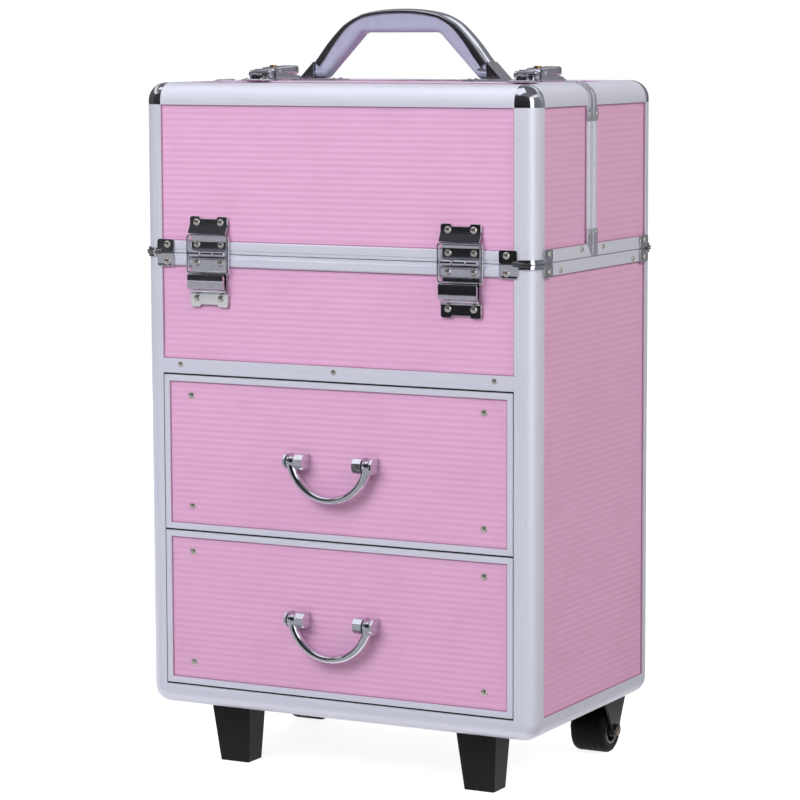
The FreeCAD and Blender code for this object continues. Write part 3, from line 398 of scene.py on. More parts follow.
# axis and side that a panel faces, then its limits along the two other axes
shadowLinePlans = {"body": [(1, -1, (-inX, inX), (case["railTop"], bodyHigh)), (1, 1, (-inX, inX), (bodyLow, bodyHigh))],
             "front_lid": [(1, -1, (-inX, inX), (lidLow, lidHigh)), (2, 1, (-inX, inX), (-inY, splitFront))],
             "rear_lid": [(1, 1, (-inX, inX), (lidLow, lidHigh)), (2, 1, (-inX, inX), (splitRear, inY))]}
for hand in (-1, 1):
    shadowLinePlans["body"].append((0, hand, (-inY, inY), (bodyLow, bodyHigh)))
    shadowLinePlans["front_lid"].append((0, hand, (-inY, splitFront), (lidLow, lidHigh)))
    shadowLinePlans["rear_lid"].append((0, hand, (splitRear, inY), (lidLow, lidHigh)))
for body, plans in shadowLinePlans.items():
    mesh = bmesh.new()
    for axis, sign, first, second in plans:
        edge = (case["side"], case["back"], case["top"])[axis]
        shadowLineRing(mesh, axis, sign, sign * (edge - case["skin"] - shadowLineSize["sunk"]), (first, second))
    piece(body + "PaintedShadowLines", mesh, [shadowLineMauve], body)
# the drawer faces get the same painted shadow line round their panels
for drawer in ("lower_drawer", "upper_drawer"):
    low, high = millimetres(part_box(drawer + "_front_panel"))
    mesh = bmesh.new()
    shadowLineRing(mesh, 1, -1, low[1] + shadowLineSize["sunk"], ((low[0], high[0]), (low[2], high[2])))
    piece(drawer + "PaintedShadowLine", mesh, [shadowLineMauve], drawer)
print("painted shadow lines made")

# black felt strips of the case behind the gaps around the drawers: painted shade that makes the gaps read dark
gapShadeStrip = {"near": 0.15, "far": 1.45, "front": 1.0, "back": 4.0}  # from the drawer's frame, behind its face
mesh = bmesh.new()
for drawer in ("lower_drawer", "upper_drawer"):
    (left, front, bottom), (right, _, top) = millimetres(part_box(drawer + "_frame"))
    near, far = gapShadeStrip["near"], gapShadeStrip["far"]
    bars = [(left - far, left - near, bottom - far, top + near),
            (right + near, right + far, bottom - far, top + near),
            (left - near, right + near, bottom - far, bottom - near)]
    if drawer == "upper_drawer":
        bars.append((left - far, right + far, top + near, top + far))
    for x, farX, z, farZ in bars:
        loft(mesh, [[(x, y, z), (farX, y, z), (farX, y, farZ), (x, y, farZ)]
                    for y in (front + gapShadeStrip["front"], front + gapShadeStrip["back"])])
piece("drawerGapPaintedShade", mesh, [blackLining], "body")

# rim beads along the seam, between brackets and hinges, and at the back also clear of the handle tubes
bead = {"spans": ((-149.4, -134.6), (-97.4, 97.4), (134.6, 149.4)),
        "rearSpans": ((-149.4, -134.6), (-97.4, -72.0), (-44.0, 44.0), (72.0, 97.4), (134.6, 149.4)),
        "out": 0.7, "near": 3.0, "far": 9.9, "bevel": 0.5}
for body, up, faces in (("body", -1, (-1, 1)), ("front_lid", 1, (-1,)), ("rear_lid", 1, (1,))):
    mesh = bmesh.new()
    for face in faces:
        for left, right in bead["spans" if face < 0 else "rearSpans"]:
            outline = [(left, bead["near"]), (right, bead["near"]), (right, bead["far"]), (left, bead["far"])]
            plate(mesh, outline, (0, face * case["back"], case["seam"]), (1, 0, 0), (0, 0, up), (0, face, 0),
                  bead["out"], bead["bevel"])
    piece(body + "RimBeads", mesh, [satinAluminium], body)

# stop hinges: pressed leaves with rolled knuckles, a ridge over the stay ring and a tongue that traps it
hinge = {"middle": 116.0, "leaf": 16.5, "tail": 18.0, "tongue": 17.0, "sheet": 1.0,  # middle, half widths, sheet
         "lidTail": (22.6, 31.0), "bodyTail": (-32.4, -44.0), "tailSheet": 1.2, "bevel": 0.3, "round": 2.2,
         "notch": ((9.4, 0.0), (8.4, 0.7), (8.0, 2.5)),  # half width and depth from the end of a tail
         "knuckle": 2.5, "roll": 0.4, "lidKnuckle": 6.3, "bodyKnuckle": 6.0,
         "pinHead": ((0, 0), (1.6, 0), (1.6, 0.5), (1.1, 0.9), (0, 1.0))}
# rows of a pressed sheet: height over the seam, how far it stands out
ridgeRows = ((24.4, 1.15), (23.6, 1.25), (22.6, 1.6), (17.8, 4.1), (17.2, 4.3), (16.8, 4.3))
lidRows = ((17.2, 1.4), (14.4, 1.4), (13.6, 1.35), (12.4, 1.1), (11.4, 0.95), (10.0, 0.9), (5.4, 0.9), (4.3, 1.2),
           (3.3, 1.9))
bodyRows = ((-2.9, 2.7), (-3.1, 3.2), (-3.6, 3.45), (-4.2, 3.2), (-4.5, 2.5), (-4.9, 2.0), (-5.6, 1.85),
            (-12.6, 0.95), (-14.0, 0.9), (-30.5, 0.9))
tongueRows = ((-16.7, 7.3), (-17.3, 7.6), (-18.1, 7.75), (-27.2, 7.75), (-27.9, 7.55), (-28.4, 7.0), (-29.0, 5.9),
              (-29.6, 4.9), (-30.2, 4.5), (-31.0, 3.9), (-31.9, 2.7), (-32.5, 1.6), (-33.2, 1.15))
tongueSide = ((5.0, -18.6), (6.8, -17.6), (6.9, -27.6), (6.0, -28.6), (5.0, -28.6))  # turned in: out and height


def sheet(mesh, middle, face, rows, half):
    rings = []
    for up, out in rows:
        front, z = face * (case["back"] + out), case["seam"] + up
        back = face * (case["back"] + out - hinge["sheet"])
        rings.append([(middle - half, front, z), (middle + half, front, z),
                      (middle + half, back, z), (middle - half, back, z)])
    loft(mesh, rings)


def tailPlate(mesh, middle, face, near, far):  # riveted end of a leaf, round at its corners
    turn = 1 if far > near else -1
    bend, half, tall = hinge["round"], hinge["tail"], abs(far - near)
    angles = [math.radians(t) for t in range(0, 91, 30)]
    side = [(half, 0)] + [(half - bend * (1 - math.cos(t)), tall - bend * (1 - math.sin(t))) for t in angles]
    side += [(a, tall - b) for a, b in hinge["notch"]]
    outline = side + [(-a, b) for a, b in reversed(side)]
    plate(mesh, outline, (middle, face * case["back"], case["seam"] + near), (1, 0, 0), (0, 0, turn), (0, face, 0),
          hinge["tailSheet"], hinge["bevel"])


def knuckle(mesh, middle, face, start, end):  # eye rolled round the hinge pin
    radius, roll = hinge["knuckle"], hinge["roll"]
    profile = [(0, start), (radius - roll, start), (radius, start + roll),
               (radius, end - roll), (radius - roll, end), (0, end)]
    lathe(mesh, profile, (middle, face * case["hingeAxis"], case["seam"]), (1, 0, 0), 24)


for face, lid, node in ((-1, "front_lid", "front_lid_hinge_leaves"), (1, "rear_lid", "rear_lid_hinge_leaves")):
    mesh = bmesh.new()
    for hand in (-1, 1):
        middle = hand * hinge["middle"]
        tailPlate(mesh, middle, face, *hinge["lidTail"])
        sheet(mesh, middle, face, ridgeRows, hinge["tail"])
        sheet(mesh, middle, face, lidRows, hinge["leaf"])
        knuckle(mesh, middle, face, -hinge["leaf"], -hinge["lidKnuckle"])
        knuckle(mesh, middle, face, hinge["lidKnuckle"], hinge["leaf"])
    piece(lid + "HingeLeaves", mesh, [chrome], lid, [node], sharp=24)
mesh = bmesh.new()
for face in (-1, 1):
    for hand in (-1, 1):
        middle = hand * hinge["middle"]
        tailPlate(mesh, middle, face, *hinge["bodyTail"])
        sheet(mesh, middle, face, bodyRows, hinge["leaf"])
        sheet(mesh, middle, face, tongueRows, hinge["tongue"])
        knuckle(mesh, middle, face, -hinge["bodyKnuckle"], hinge["bodyKnuckle"])
        for end in (-1, 1):
            side = (middle + end * (hinge["tongue"] - hinge["sheet"]), face * case["back"], case["seam"])
            plate(mesh, tongueSide, side, (0, face, 0), (0, 0, 1), (end, 0, 0), hinge["sheet"])
            pinEnd = (middle + end * hinge["leaf"], face * case["hingeAxis"], case["seam"])
            lathe(mesh, hinge["pinHead"], pinEnd, (end, 0, 0), 16)
piece("bodyHingeLeaves", mesh, [chrome], "body", ["hinge_lower_leaves"], sharp=24)
print("stop hinges made")

# seam brackets: rounded ears over the CAD ones, the body's pressed a little inwards at their foot, and a rolled band
ear = {"middle": 157.5, "sideMiddle": 94.0, "out": 0.9, "sideOut": 0.7, "height": 5.75, "half": (8.1, 5.6),
       "round": 2.2, "tilt": math.radians(7), "sheet": 0.7, "bevel": 0.2, "bandSteps": 12,
       "band": ((0.9, 1.3), (1.5, 1.5), (1.8, 2.2), (1.8, 2.9), (1.5, 3.5), (0.9, 3.7))}  # out, from the seam
for body, faces, turn in (("front_lid", (-1,), 1), ("rear_lid", (1,), 1), ("body", (-1, 1), -1)):
    mesh = bmesh.new()
    shape = roundRect(*ear["half"], ear["round"])
    tilt = ear["tilt"] if turn < 0 else 0.0
    z = case["seam"] + turn * ear["height"]
    for face in faces:
        for hand in (-1, 1):
            spot = (hand * ear["middle"], face * (case["back"] + ear["out"]), z)
            plate(mesh, shape, spot, (1, 0, 0), (0, face * math.sin(tilt), math.cos(tilt)),
                  (0, face * math.cos(tilt), -math.sin(tilt)), ear["sheet"], ear["bevel"])
            spot = (hand * (case["side"] + ear["sideOut"]), face * ear["sideMiddle"], z)
            plate(mesh, shape, spot, (0, 1, 0), (0, 0, 1), (hand, 0, 0), ear["sheet"], ear["bevel"])
            hub = Vector((hand * inX, face * inY, case["seam"]))
            rings = []
            for step in range(ear["bandSteps"] + 1):
                angle = math.pi / 2 * step / ear["bandSteps"]
                out = Vector((hand * math.sin(angle), face * math.cos(angle), 0))
                rings.append([hub + out * (case["edge"] + a) + Vector((0, 0, turn * b)) for a, b in ear["band"]])
            loft(mesh, rings)
    piece(body + "SeamEars", mesh, [chrome], body)
print("seam brackets made")

# rivets on hinges, brackets, rims, rail and drawers
hingeRivet = {"x": 11.4, "lid": ((26.0, 1.2), (7.8, 0.9)), "body": ((-7.2, 1.6), (-36.5, 1.2))}  # height, out
earRivet = {"x": 156.0, "front": -91.3, "rear": 95.5, "up": 7.0, "out": 1.5, "sideOut": 0.8}
# along the side, over the seam
rimRivet = {"body": ((-69.1, -7.0), (72.9, -7.0)), "front_lid": ((-28.9, 7.0),), "rear_lid": ((12.4, 7.0),)}
railRivet = {"x": (-145.0, 0.0, 145.0), "z": 340.0}
drawerRivet = {"x": 135.5, "upper_drawer": (314.2, 221.3), "lower_drawer": (182.9, 89.2)}
places = {"body": [], "front_lid": [], "rear_lid": []}
for face, lid in ((-1, "front_lid"), (1, "rear_lid")):
    y = face * (case["back"] + earRivet["out"])
    sideY = earRivet["front"] if face < 0 else earRivet["rear"]
    for hand in (-1, 1):
        for offset in (-hingeRivet["x"], hingeRivet["x"]):
            x = hand * hinge["middle"] + offset
            for body, rows in ((lid, hingeRivet["lid"]), ("body", hingeRivet["body"])):
                places[body] += [((x, face * (case["back"] + out), case["seam"] + up), (0, face, 0))
                                 for up, out in rows]
        sideX = hand * (case["side"] + earRivet["sideOut"])
        for body, up in ((lid, earRivet["up"]), ("body", -earRivet["up"])):
            places[body].append(((hand * earRivet["x"], y, case["seam"] + up), (0, face, 0)))
            places[body].append(((sideX, sideY, case["seam"] + up), (hand, 0, 0)))
for body, items in places.items():
    rivets(body + "Rivets", body, items)
for body, spots in rimRivet.items():
    items = [((hand * case["side"], y, case["seam"] + up), (hand, 0, 0)) for hand in (-1, 1) for y, up in spots]
    if body == "body":
        items += [((x, case["front"], railRivet["z"]), (0, -1, 0)) for x in railRivet["x"]]
    rivets(body + "RimRivets", body, items, radius=2.6, height=1.4)
for drawer in ("upper_drawer", "lower_drawer"):
    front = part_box(drawer + "_front_panel")[0][1] / mm
    items = [((hand * drawerRivet["x"], front, z), (0, -1, 0)) for hand in (-1, 1) for z in drawerRivet[drawer]]
    rivets(drawer + "Rivets", drawer, items, radius=3.1, height=1.6)
print("rivets set")

# split of the half lids on the sides: rails, gussets over the seam, ears and bands over the edge
split = {"gap": 0.4, "sheet": 1.0, "bevel": 0.35, "gussetTop": 22.5, "frontFoot": 12.0, "rearFoot": 1.2,
         "earLow": 541.5, "earTop": 553.5, "band": 6.2, "bandEnd": 22.0, "round": 15.0, "bendSteps": 8,
         "rail": 4.6, "railShape": ((0, -2.9), (0.6, -2.4), (1.0, -1.1), (1.0, 1.1), (0.6, 2.4), (0, 2.9)),
         "rivet": 6.6, "rivetRows": (452.3, 547.4)}
strap = [(-0.3, 0.5), (0.8, 0.5), (1.2, 0.9),
         (1.2, split["band"] - 0.4), (0.8, split["band"]), (-0.3, split["band"])]  # out, along
for body, face in (("front_lid", -1), ("rear_lid", 1)):
    mesh, rails = bmesh.new(), bmesh.new()
    spots = []
    near = case["split"] + face * split["gap"]
    earLow, earTop, gussetTop = split["earLow"], split["earTop"], split["gussetTop"]
    foot = split["frontFoot"] if face < 0 else split["rearFoot"]
    gusset = [(0.2, 1.0), (0.2, gussetTop), (9.6, gussetTop), (9.6, foot), (5.0, foot * 0.6)]
    earShape = [(0.2, earTop), (0.2, earLow + 1.5), (1.5, earLow), (8.3, earLow), (9.8, earLow + 1.5),
                (9.8, earTop - 3), (7.2, earTop)]
    for hand in (-1, 1):
        wall = hand * case["side"]
        for shape, base in ((gusset, case["seam"]), (earShape, 0)):
            plate(mesh, shape, (wall, near, base), (0, face, 0), (0, 0, 1), (hand, 0, 0), split["sheet"],
                  split["bevel"])
        middle = near + face * split["rail"]
        loft(rails, [[Vector((wall + hand * a, middle + b, z)) for a, b in split["railShape"]]
                     for z in (case["seam"] + gussetTop, earLow)])
        bend = [(wall, earTop - 2), (wall, case["top"] - split["round"])]
        for step in range(1, split["bendSteps"] + 1):
            angle = math.pi / 2 * step / split["bendSteps"]
            bend.append((wall - hand * split["round"] * (1 - math.cos(angle)),
                         case["top"] - split["round"] * (1 - math.sin(angle))))
        bend.append((wall - hand * split["bandEnd"], case["top"]))
        rings = []
        for i, (x, z) in enumerate(bend):
            px, pz = bend[max(i - 1, 0)]
            qx, qz = bend[min(i + 1, len(bend) - 1)]
            run = Vector((qx - px, 0, qz - pz)).normalized()
            lift = Vector((hand * run.z, 0, -hand * run.x))
            rings.append([Vector((x, near + face * b, z)) + lift * a for a, b in strap])
        loft(mesh, rings)
        spots += [((wall + hand * split["sheet"], near + face * split["rivet"], z), (hand, 0, 0))
                  for z in split["rivetRows"]]
    piece(body + "SplitFittings", mesh, [pressedSteel], body)
    piece(body + "SplitRails", rails, [satinAluminium], body)
    rivets(body + "SplitRivets", body, spots, radius=2.2, height=1.3)
print("split fittings made")

# latches: rounded levers behind the split, keepers with hook and roller in front of it
latch = {"x": 124.5, "rear": -9.1, "front": -10.9, "round": 1.9, "plugBack": 14.0, "plugUp": 12.6,
         "slot": (0.4, 2.0, 0.35), "slotRaise": 0.1, "bezel": ((2.9, -0.2), (2.9, 0.25), (2.5, 0.35), (2.4, 0.0))}
# sections of the lever: behind the split, half width, low, high
sections = ((4.0, 6.6, 5.7, 7.3), (4.7, 7.6, 5.3, 8.6), (6.2, 7.9, 5.2, 10.1), (8.2, 8.0, 5.2, 11.1),
            (12.0, 8.0, 4.9, 11.4), (20.0, 8.0, 4.2, 11.7), (36.0, 8.0, 4.2, 12.15), (42.6, 7.9, 4.5, 12.35),
            (44.5, 7.4, 5.0, 12.0), (45.5, 6.3, 5.9, 11.4), (46.0, 4.6, 7.1, 10.4))
for hand, word in ((-1, "left"), (1, "right")):
    x = hand * latch["x"]
    mesh = bmesh.new()
    rings = []
    for back, half, low, high in sections:
        middle, tall = (low + high) / 2, (high - low) / 2
        rings.append([(x + a, latch["rear"] + back, case["top"] + middle + b)
                      for a, b in roundRect(half, tall, min(latch["round"], 0.85 * tall))])
    loft(mesh, rings)
    piece(word + "Lever", mesh, [satinChrome], word + "_lever", [word + "_latch_lever"], sharp=50)
    mesh = bmesh.new()
    plug = (x, latch["rear"] + latch["plugBack"], case["top"] + latch["plugUp"])
    plate(mesh, roundRect(*latch["slot"], steps=2), plug, (1, 0, 0), (0, 1, 0), (0, 0, 1), latch["slotRaise"])
    lathe(mesh, latch["bezel"], plug, (0, 0, 1))
    piece(word + "KeySlot", mesh, [brass], word + "_plug")

# keepers, and cheeks beside the levers
keeper = {"half": (11.0, 10.5), "round": 2.5, "sheet": 1.6, "bevel": 0.5, "rollerAt": (-10.5, -5.0, 5.6),
          "hook": ((1.2, 1.2), (1.2, 6.0), (1.7, 7.4), (3.0, 8.4), (5.0, 8.6), (6.6, 7.9), (7.3, 6.4)),  # front, up
          "hookHalf": (0.8, 6.8), "cheek": ((0.6, 1.4), (0.6, 6.4), (3.0, 7.6), (6.2, 7.0), (10.0, 1.4)),
          "cheekX": 7.4, "cheekBevel": 0.3, "thin": 1.1, "rivetY": -16.5, "tabAt": (0, -6.8, 5.2), "tabBevel": 0.4,
          "tab": ((-4.2, 0), (-4.2, 6.0), (-2.6, 8.6), (2.6, 8.6), (4.2, 6.0), (4.2, 0))}
roller = [(0, -0.1), (2.6, 0), (3.4, 0.6), (3.6, 1.4), (3.4, 2.2), (2.6, 2.8), (1.5, 3.0)]
roller += [(radius, -2 * keeper["rollerAt"][0] - along) for radius, along in reversed(roller)]
wing = {"x": 8.6, "sheet": 1.8, "bevel": 0.4, "rivet": (8.0, 7.4),  # behind the split, over the top
        "shape": ((11.6, 1.6), (11.6, 9.7), (14.0, 8.6), (18.5, 6.2), (25.0, 4.9), (38.0, 4.3), (43.0, 3.4),
                  (44.6, 1.6))}
mesh, cheeks = bmesh.new(), bmesh.new()
keeperSpots, baseSpots = [], []
for hand in (-1, 1):
    top = Vector((hand * latch["x"], latch["front"], case["top"]))
    behind = Vector((hand * latch["x"], latch["rear"], case["top"]))
    halfX, halfY = keeper["half"]
    foot = [(a, b - halfY) for a, b in roundRect(halfX, halfY, keeper["round"])]
    plate(mesh, foot, top, (1, 0, 0), (0, 1, 0), (0, 0, 1), keeper["sheet"], keeper["bevel"])
    thick, half = keeper["hookHalf"]
    sweep(mesh, [top + Vector((0, -a, b)) for a, b in keeper["hook"]],
          [(-thick, -half), (thick, -half), (thick, half), (-thick, half)], (1, 0, 0))
    lathe(mesh, roller, top + Vector(keeper["rollerAt"]), (1, 0, 0))
    for turn in (-1, 1):
        plate(mesh, keeper["cheek"], top + Vector((turn * keeper["cheekX"], 0, 0)), (0, -1, 0), (0, 0, 1),
              (turn, 0, 0), keeper["thin"], keeper["cheekBevel"])
        spot = top + Vector((turn * keeper["cheekX"], keeper["rivetY"], keeper["sheet"]))
        keeperSpots.append((spot, (0, 0, 1)))
        plate(cheeks, wing["shape"], behind + Vector((turn * wing["x"], 0, 0)), (0, 1, 0), (0, 0, 1), (turn, 0, 0),
              wing["sheet"], wing["bevel"])
        spot = behind + Vector((turn * (wing["x"] + wing["sheet"]), *wing["rivet"]))
        baseSpots.append((spot, (turn, 0, 0)))
    plate(mesh, keeper["tab"], top + Vector(keeper["tabAt"]), (1, 0, 0), (0, -1, 0), (0, 0, 1), keeper["thin"],
          keeper["tabBevel"])
piece("latchKeepers", mesh, [chrome], "front_lid", ["latch_keepers"])
piece("latchCheeks", cheeks, [chrome], "rear_lid")
rivets("keeperRivets", "front_lid", keeperSpots, radius=1.7, height=1.0)

# carry handle: D-section chrome strip over the lilac grip, lilac feet beside the wedges
arch = {"y": 8.0, "halfWidth": 10.0, "thick": (7.0, 3.8), "rise": (26.0, 56.0), "crown": 1.6, "steps": 4,
        "fill": ((-12.0, 8.7), (-7.6, 8.9)), "fillLap": 0.3, "fillStart": 24.0,
        "line": ((81.3, 16.0), (77.0, 21.3), (70.9, 29.1), (65.9, 34.8), (60.4, 40.5), (53.6, 46.8), (47.0, 51.2),
                 (40.0, 54.6), (33.0, 56.8), (22.0, 58.7), (11.0, 59.7), (0.0, 60.0))}
knots = [Vector((a, arch["y"], case["top"] + b)) for a, b in arch["line"]]
knots += [Vector((-k.x, k.y, k.z)) for k in reversed(knots[:-1])]
outline = []
for i, (first, last) in enumerate(zip(knots, knots[1:])):
    before, after = knots[max(i - 1, 0)], knots[min(i + 2, len(knots) - 1)]
    for step in range(arch["steps"]):
        t = step / arch["steps"]
        leave, arrive = (last - before) / 2, (after - first) / 2
        outline.append(first * (2 * t ** 3 - 3 * t * t + 1) + leave * (t ** 3 - 2 * t * t + t)
                       + last * (3 * t * t - 2 * t ** 3) + arrive * (t ** 3 - t * t))
outline.append(knots[-1])
crownShape = [(arch["crown"] * (math.cos(math.radians(t)) - 1), arch["halfWidth"] * math.sin(math.radians(t)))
              for t in range(-90, 91, 15)]


def stripDepth(spot):  # the strip gets thinner towards the top of the arch
    low, high = arch["rise"]
    share = min(max((spot.z - case["top"] - low) / (high - low), 0.0), 1.0)
    return arch["thick"][0] + (arch["thick"][1] - arch["thick"][0]) * share


def stripShape(spot):
    under = -stripDepth(spot)
    return [(under, -arch["halfWidth"])] + crownShape + [(under, arch["halfWidth"])]


def fillShape(spot):  # runs out into the flanks of the grip
    half = [*arch["fill"], (arch["fillLap"] - stripDepth(spot), arch["fill"][-1][1])]
    return [(a, -b) for a, b in half] + half[::-1]


mesh = bmesh.new()
sweep(mesh, outline, stripShape, (0, 1, 0))
piece("carryArch", mesh, [chrome], "carry_handle", ["carry_handle_arch"], sharp=50)
mesh = bmesh.new()
sweep(mesh, [spot for spot in outline if spot.z > case["top"] + arch["fillStart"]], fillShape, (0, 1, 0))
piece("carryGripFill", mesh, [lilacAbs], "carry_handle", sharp=30)

# feet of the grip, round about the handle's axis, and rivets of the brackets that hold it
gripFoot = {"half": 8.8, "steps": 8, "axis": 12.0, "round": 9.9, "edge": 0.9, "outer": (80.8, 15.4),
            "slope": ((76.6, 11.9), (72.0, 10.0)), "rivet": (64.0, 6.0, 1.6)}
mesh = bmesh.new()
for hand in (-1, 1):
    rings = []
    for step in range(gripFoot["steps"] + 1):
        y = gripFoot["half"] * (2 * step / gripFoot["steps"] - 1)
        shrink = gripFoot["edge"] if step in (0, gripFoot["steps"]) else 0.0
        low = gripFoot["axis"] - math.sqrt(gripFoot["round"] ** 2 - y * y) + shrink
        outer, high = (size - shrink for size in gripFoot["outer"])
        side = [(outer, low), (outer, high), *gripFoot["slope"], (gripFoot["slope"][-1][0], low)]
        rings.append([(hand * a, arch["y"] + y, case["top"] + b) for a, b in side])
    loft(mesh, rings)
piece("carryGripFeet", mesh, [lilacAbs], "carry_handle")
x, y, up = gripFoot["rivet"]
baseSpots += [((hand * x, arch["y"] + turn * y, case["top"] + up), (0, 0, 1)) for hand in (-1, 1) for turn in (-1, 1)]
rivets("topFittingRivets", "rear_lid", baseSpots, radius=1.8, height=1.0)
print("latches and carry handle made")

# drawer bails: oval bow, thicker towards its eyes
bail = {"axis": -124.3, "end": (35.0, 0.0), "side": (34.61, -3.92), "meet": (33.46, -7.69), "drop": 30.0,
        "thin": (3.4, 5.0), "thick": (4.4, 5.2), "eye": 5.2, "eyeHalf": 3.6, "eyeEdge": 0.8, "pin": 2.05,
        "sideSteps": 5, "bowSteps": 28, "round": 16, "taper": 0.7}
for drawer in ("lower_drawer", "upper_drawer"):
    low, high = millimetres(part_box(drawer + "_frame"))
    middle = (low[2] + high[2]) / 2
    bow = arcThrough(bail["end"], bail["side"], bail["meet"], bail["sideSteps"])[:-1]
    bow += arcThrough(bail["meet"], (0, -bail["drop"]), (-bail["meet"][0], bail["meet"][1]), bail["bowSteps"])
    bow += [(-a, b) for a, b in reversed(bow[:bail["sideSteps"]])]
    angles = [math.tau * step / bail["round"] for step in range(bail["round"])]
    rings = []
    for i, (a, b) in enumerate(bow):
        before, after = bow[max(i - 1, 0)], bow[min(i + 1, len(bow) - 1)]
        run = Vector((after[0] - before[0], 0, after[1] - before[1])).normalized()
        share = min(1.0, -b / bail["drop"]) ** bail["taper"]
        flat, deep = (k + (n - k) * share for k, n in zip(bail["thick"], bail["thin"]))
        rings.append([Vector((a, bail["axis"], middle + b)) + Vector((run.z, 0, -run.x)) * (flat * math.cos(t))
                      + Vector((0, deep * math.sin(t), 0)) for t in angles])
    mesh = bmesh.new()
    loft(mesh, rings)
    rim, width, edge, pin = bail["eye"], bail["eyeHalf"], bail["eyeEdge"], bail["pin"]
    eye = [(pin, -width), (rim - edge, -width), (rim, edge - width),
           (rim, width - edge), (rim - edge, width), (pin, width)]
    for hand in (-1, 1):
        lathe(mesh, eye, (hand * bail["end"][0], bail["axis"], middle), (1, 0, 0), 28)
    piece(drawer + "Bow", mesh, [chrome], drawer.split("_")[0] + "_pull", [drawer + "_bail"],
          sharp=50)
print("drawer bails made")

# wheels: grooved tyre on a dished hub, capped axle; profiles run in from the wheel's face
wheel = {"x": 140.0, "y": 90.5, "radius": 20.0, "width": 32.0,
         "grooves": (9.0, 16.0, 23.0), "grooveFloor": 19.5, "grooveHalf": (0.9, 0.4),
         "wall": ((12.4, 0.9), (14.5, 0.4), (17.2, 0.6), (18.9, 1.6), (19.8, 3.2), (20.0, 5.0)),
         "hub": ((3.05, 0.0), (5.6, 0.0), (6.0, 0.4), (6.2, 6.4), (9.2, 7.0), (9.9, 6.2), (10.1, 1.4), (10.5, 0.7),
                 (12.5, 0.9)),
         "cap": ((4.75, -0.1), (4.75, 2.2), (4.3, 2.8), (2.2, 3.1), (0, 3.15)), "capOut": 19.0}


def bothFaces(half, between=()):
    return [*half, *between, *((radius, wheel["width"] - along) for radius, along in reversed(half))]


mouth, floorHalf = wheel["grooveHalf"]
tread = []
for groove in wheel["grooves"]:
    tread += [(wheel["radius"], groove - mouth), (wheel["grooveFloor"], groove - floorHalf),
              (wheel["grooveFloor"], groove + floorHalf), (wheel["radius"], groove + mouth)]
for hand, word in ((-1, "left"), (1, "right")):
    start = (hand * wheel["x"] - wheel["width"] / 2, wheel["y"], wheel["radius"])
    mesh = bmesh.new()
    lathe(mesh, bothFaces(wheel["wall"], tread), start, (1, 0, 0), 64)
    piece(word + "Tyre", mesh, [tyreRubber], word + "_caster_wheel", [word + "_wheel"])
    mesh = bmesh.new()
    lathe(mesh, bothFaces(wheel["hub"]), start, (1, 0, 0), 40)
    piece(word + "Hub", mesh, [hubNylon], word + "_caster_wheel", [word + "_wheel"])
mesh = bmesh.new()
for hand in (-1, 1):
    for turn in (-1, 1):
        spot = (hand * wheel["x"] + turn * wheel["capOut"], wheel["y"], wheel["radius"])
        lathe(mesh, wheel["cap"], spot, (turn, 0, 0), 24)
piece("axleCaps", mesh, [darkBronze], "body")
print("wheels made")

# inside: tray dividers with a finger dip, felt in the drawers
divider = {"x": (-84.0, 0.0, 84.0), "sheet": 1.4, "tall": 31.0, "dip": 24.0, "dipEnds": (0.28, 0.36),
           "wall": 2.6, "base": 2.4}  # wall and base of the tray
for tray in ("front_lower_tray", "front_upper_tray", "rear_lower_tray", "rear_upper_tray"):
    low, high = millimetres(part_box(tray))
    mesh = bmesh.new()
    depth, tall, dip = high[1] - low[1] - 2 * divider["wall"], divider["tall"], divider["dip"]
    rim, floorEnd = (share * depth for share in divider["dipEnds"])
    outline = [(0, 0), (depth, 0), (depth, tall), (depth - rim, tall), (depth - floorEnd, dip),
               (floorEnd, dip), (rim, tall), (0, tall)]
    for x in divider["x"]:
        plate(mesh, outline, (x - divider["sheet"] / 2, low[1] + divider["wall"], low[2] + divider["base"]),
              (0, 1, 0), (0, 0, 1), (1, 0, 0), divider["sheet"])
    piece(tray + "Dividers", mesh, [blackPlastic], tray + "_body")
drawerFelt = {"half": 149.0, "front": -105.2, "back": 99.2, "up": 9.0, "thick": 1.2, "bevel": 0.5}
half, front, back = (drawerFelt[key] for key in ("half", "front", "back"))
for drawer in ("lower_drawer", "upper_drawer"):
    mesh = bmesh.new()
    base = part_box(drawer + "_frame")[0][2] / mm + drawerFelt["up"]
    plate(mesh, [(-half, front), (half, front), (half, back), (-half, back)], (0, 0, base), (1, 0, 0), (0, 1, 0),
          (0, 0, 1), drawerFelt["thick"], drawerFelt["bevel"])
    piece(drawer + "Felt", mesh, [blackLining], drawer)
print("inside made")

# CAD nodes that keep their shape
finishes = {
    satinAluminium: ["body_corner_posts", "front_cross_rail", "bottom_edge_frame", "body_rims",
                     "front_lid_edge_trims", "front_lid_rims", "rear_lid_edge_trims", "rear_lid_rims",
                     "lower_drawer_frame", "upper_drawer_frame"],
    chrome: ["body_seam_brackets", "front_lid_corner_fittings", "front_lid_stay_rings", "rear_lid_corner_fittings",
             "rear_lid_stay_rings", "rear_lid_top_fittings", "lower_drawer_pull_posts", "upper_drawer_pull_posts"],
    lilacAbs: ["carry_handle_grip"],
    brass: ["left_key_plug", "right_key_plug"],
    blackPlastic: ["bottom_panel", "front_feet", "pull_handle_sleeves", "pull_handle_grip", "pull_handle_button",
                   "front_lower_tray", "front_upper_tray", "rear_lower_tray", "rear_upper_tray"],
    blackLining: ["compartment_floor", "lower_drawer_box", "upper_drawer_box"],
    zincSteel: ["front_tray_arms", "rear_tray_arms", "drawer_runners", "pull_handle_tubes"],
    powderBlack: ["caster_forks"],
}
for material, names in finishes.items():
    for name in names:
        nodes[name].data.materials.clear()
        nodes[name].data.materials.append(material)
print("finishes set on CAD nodes")

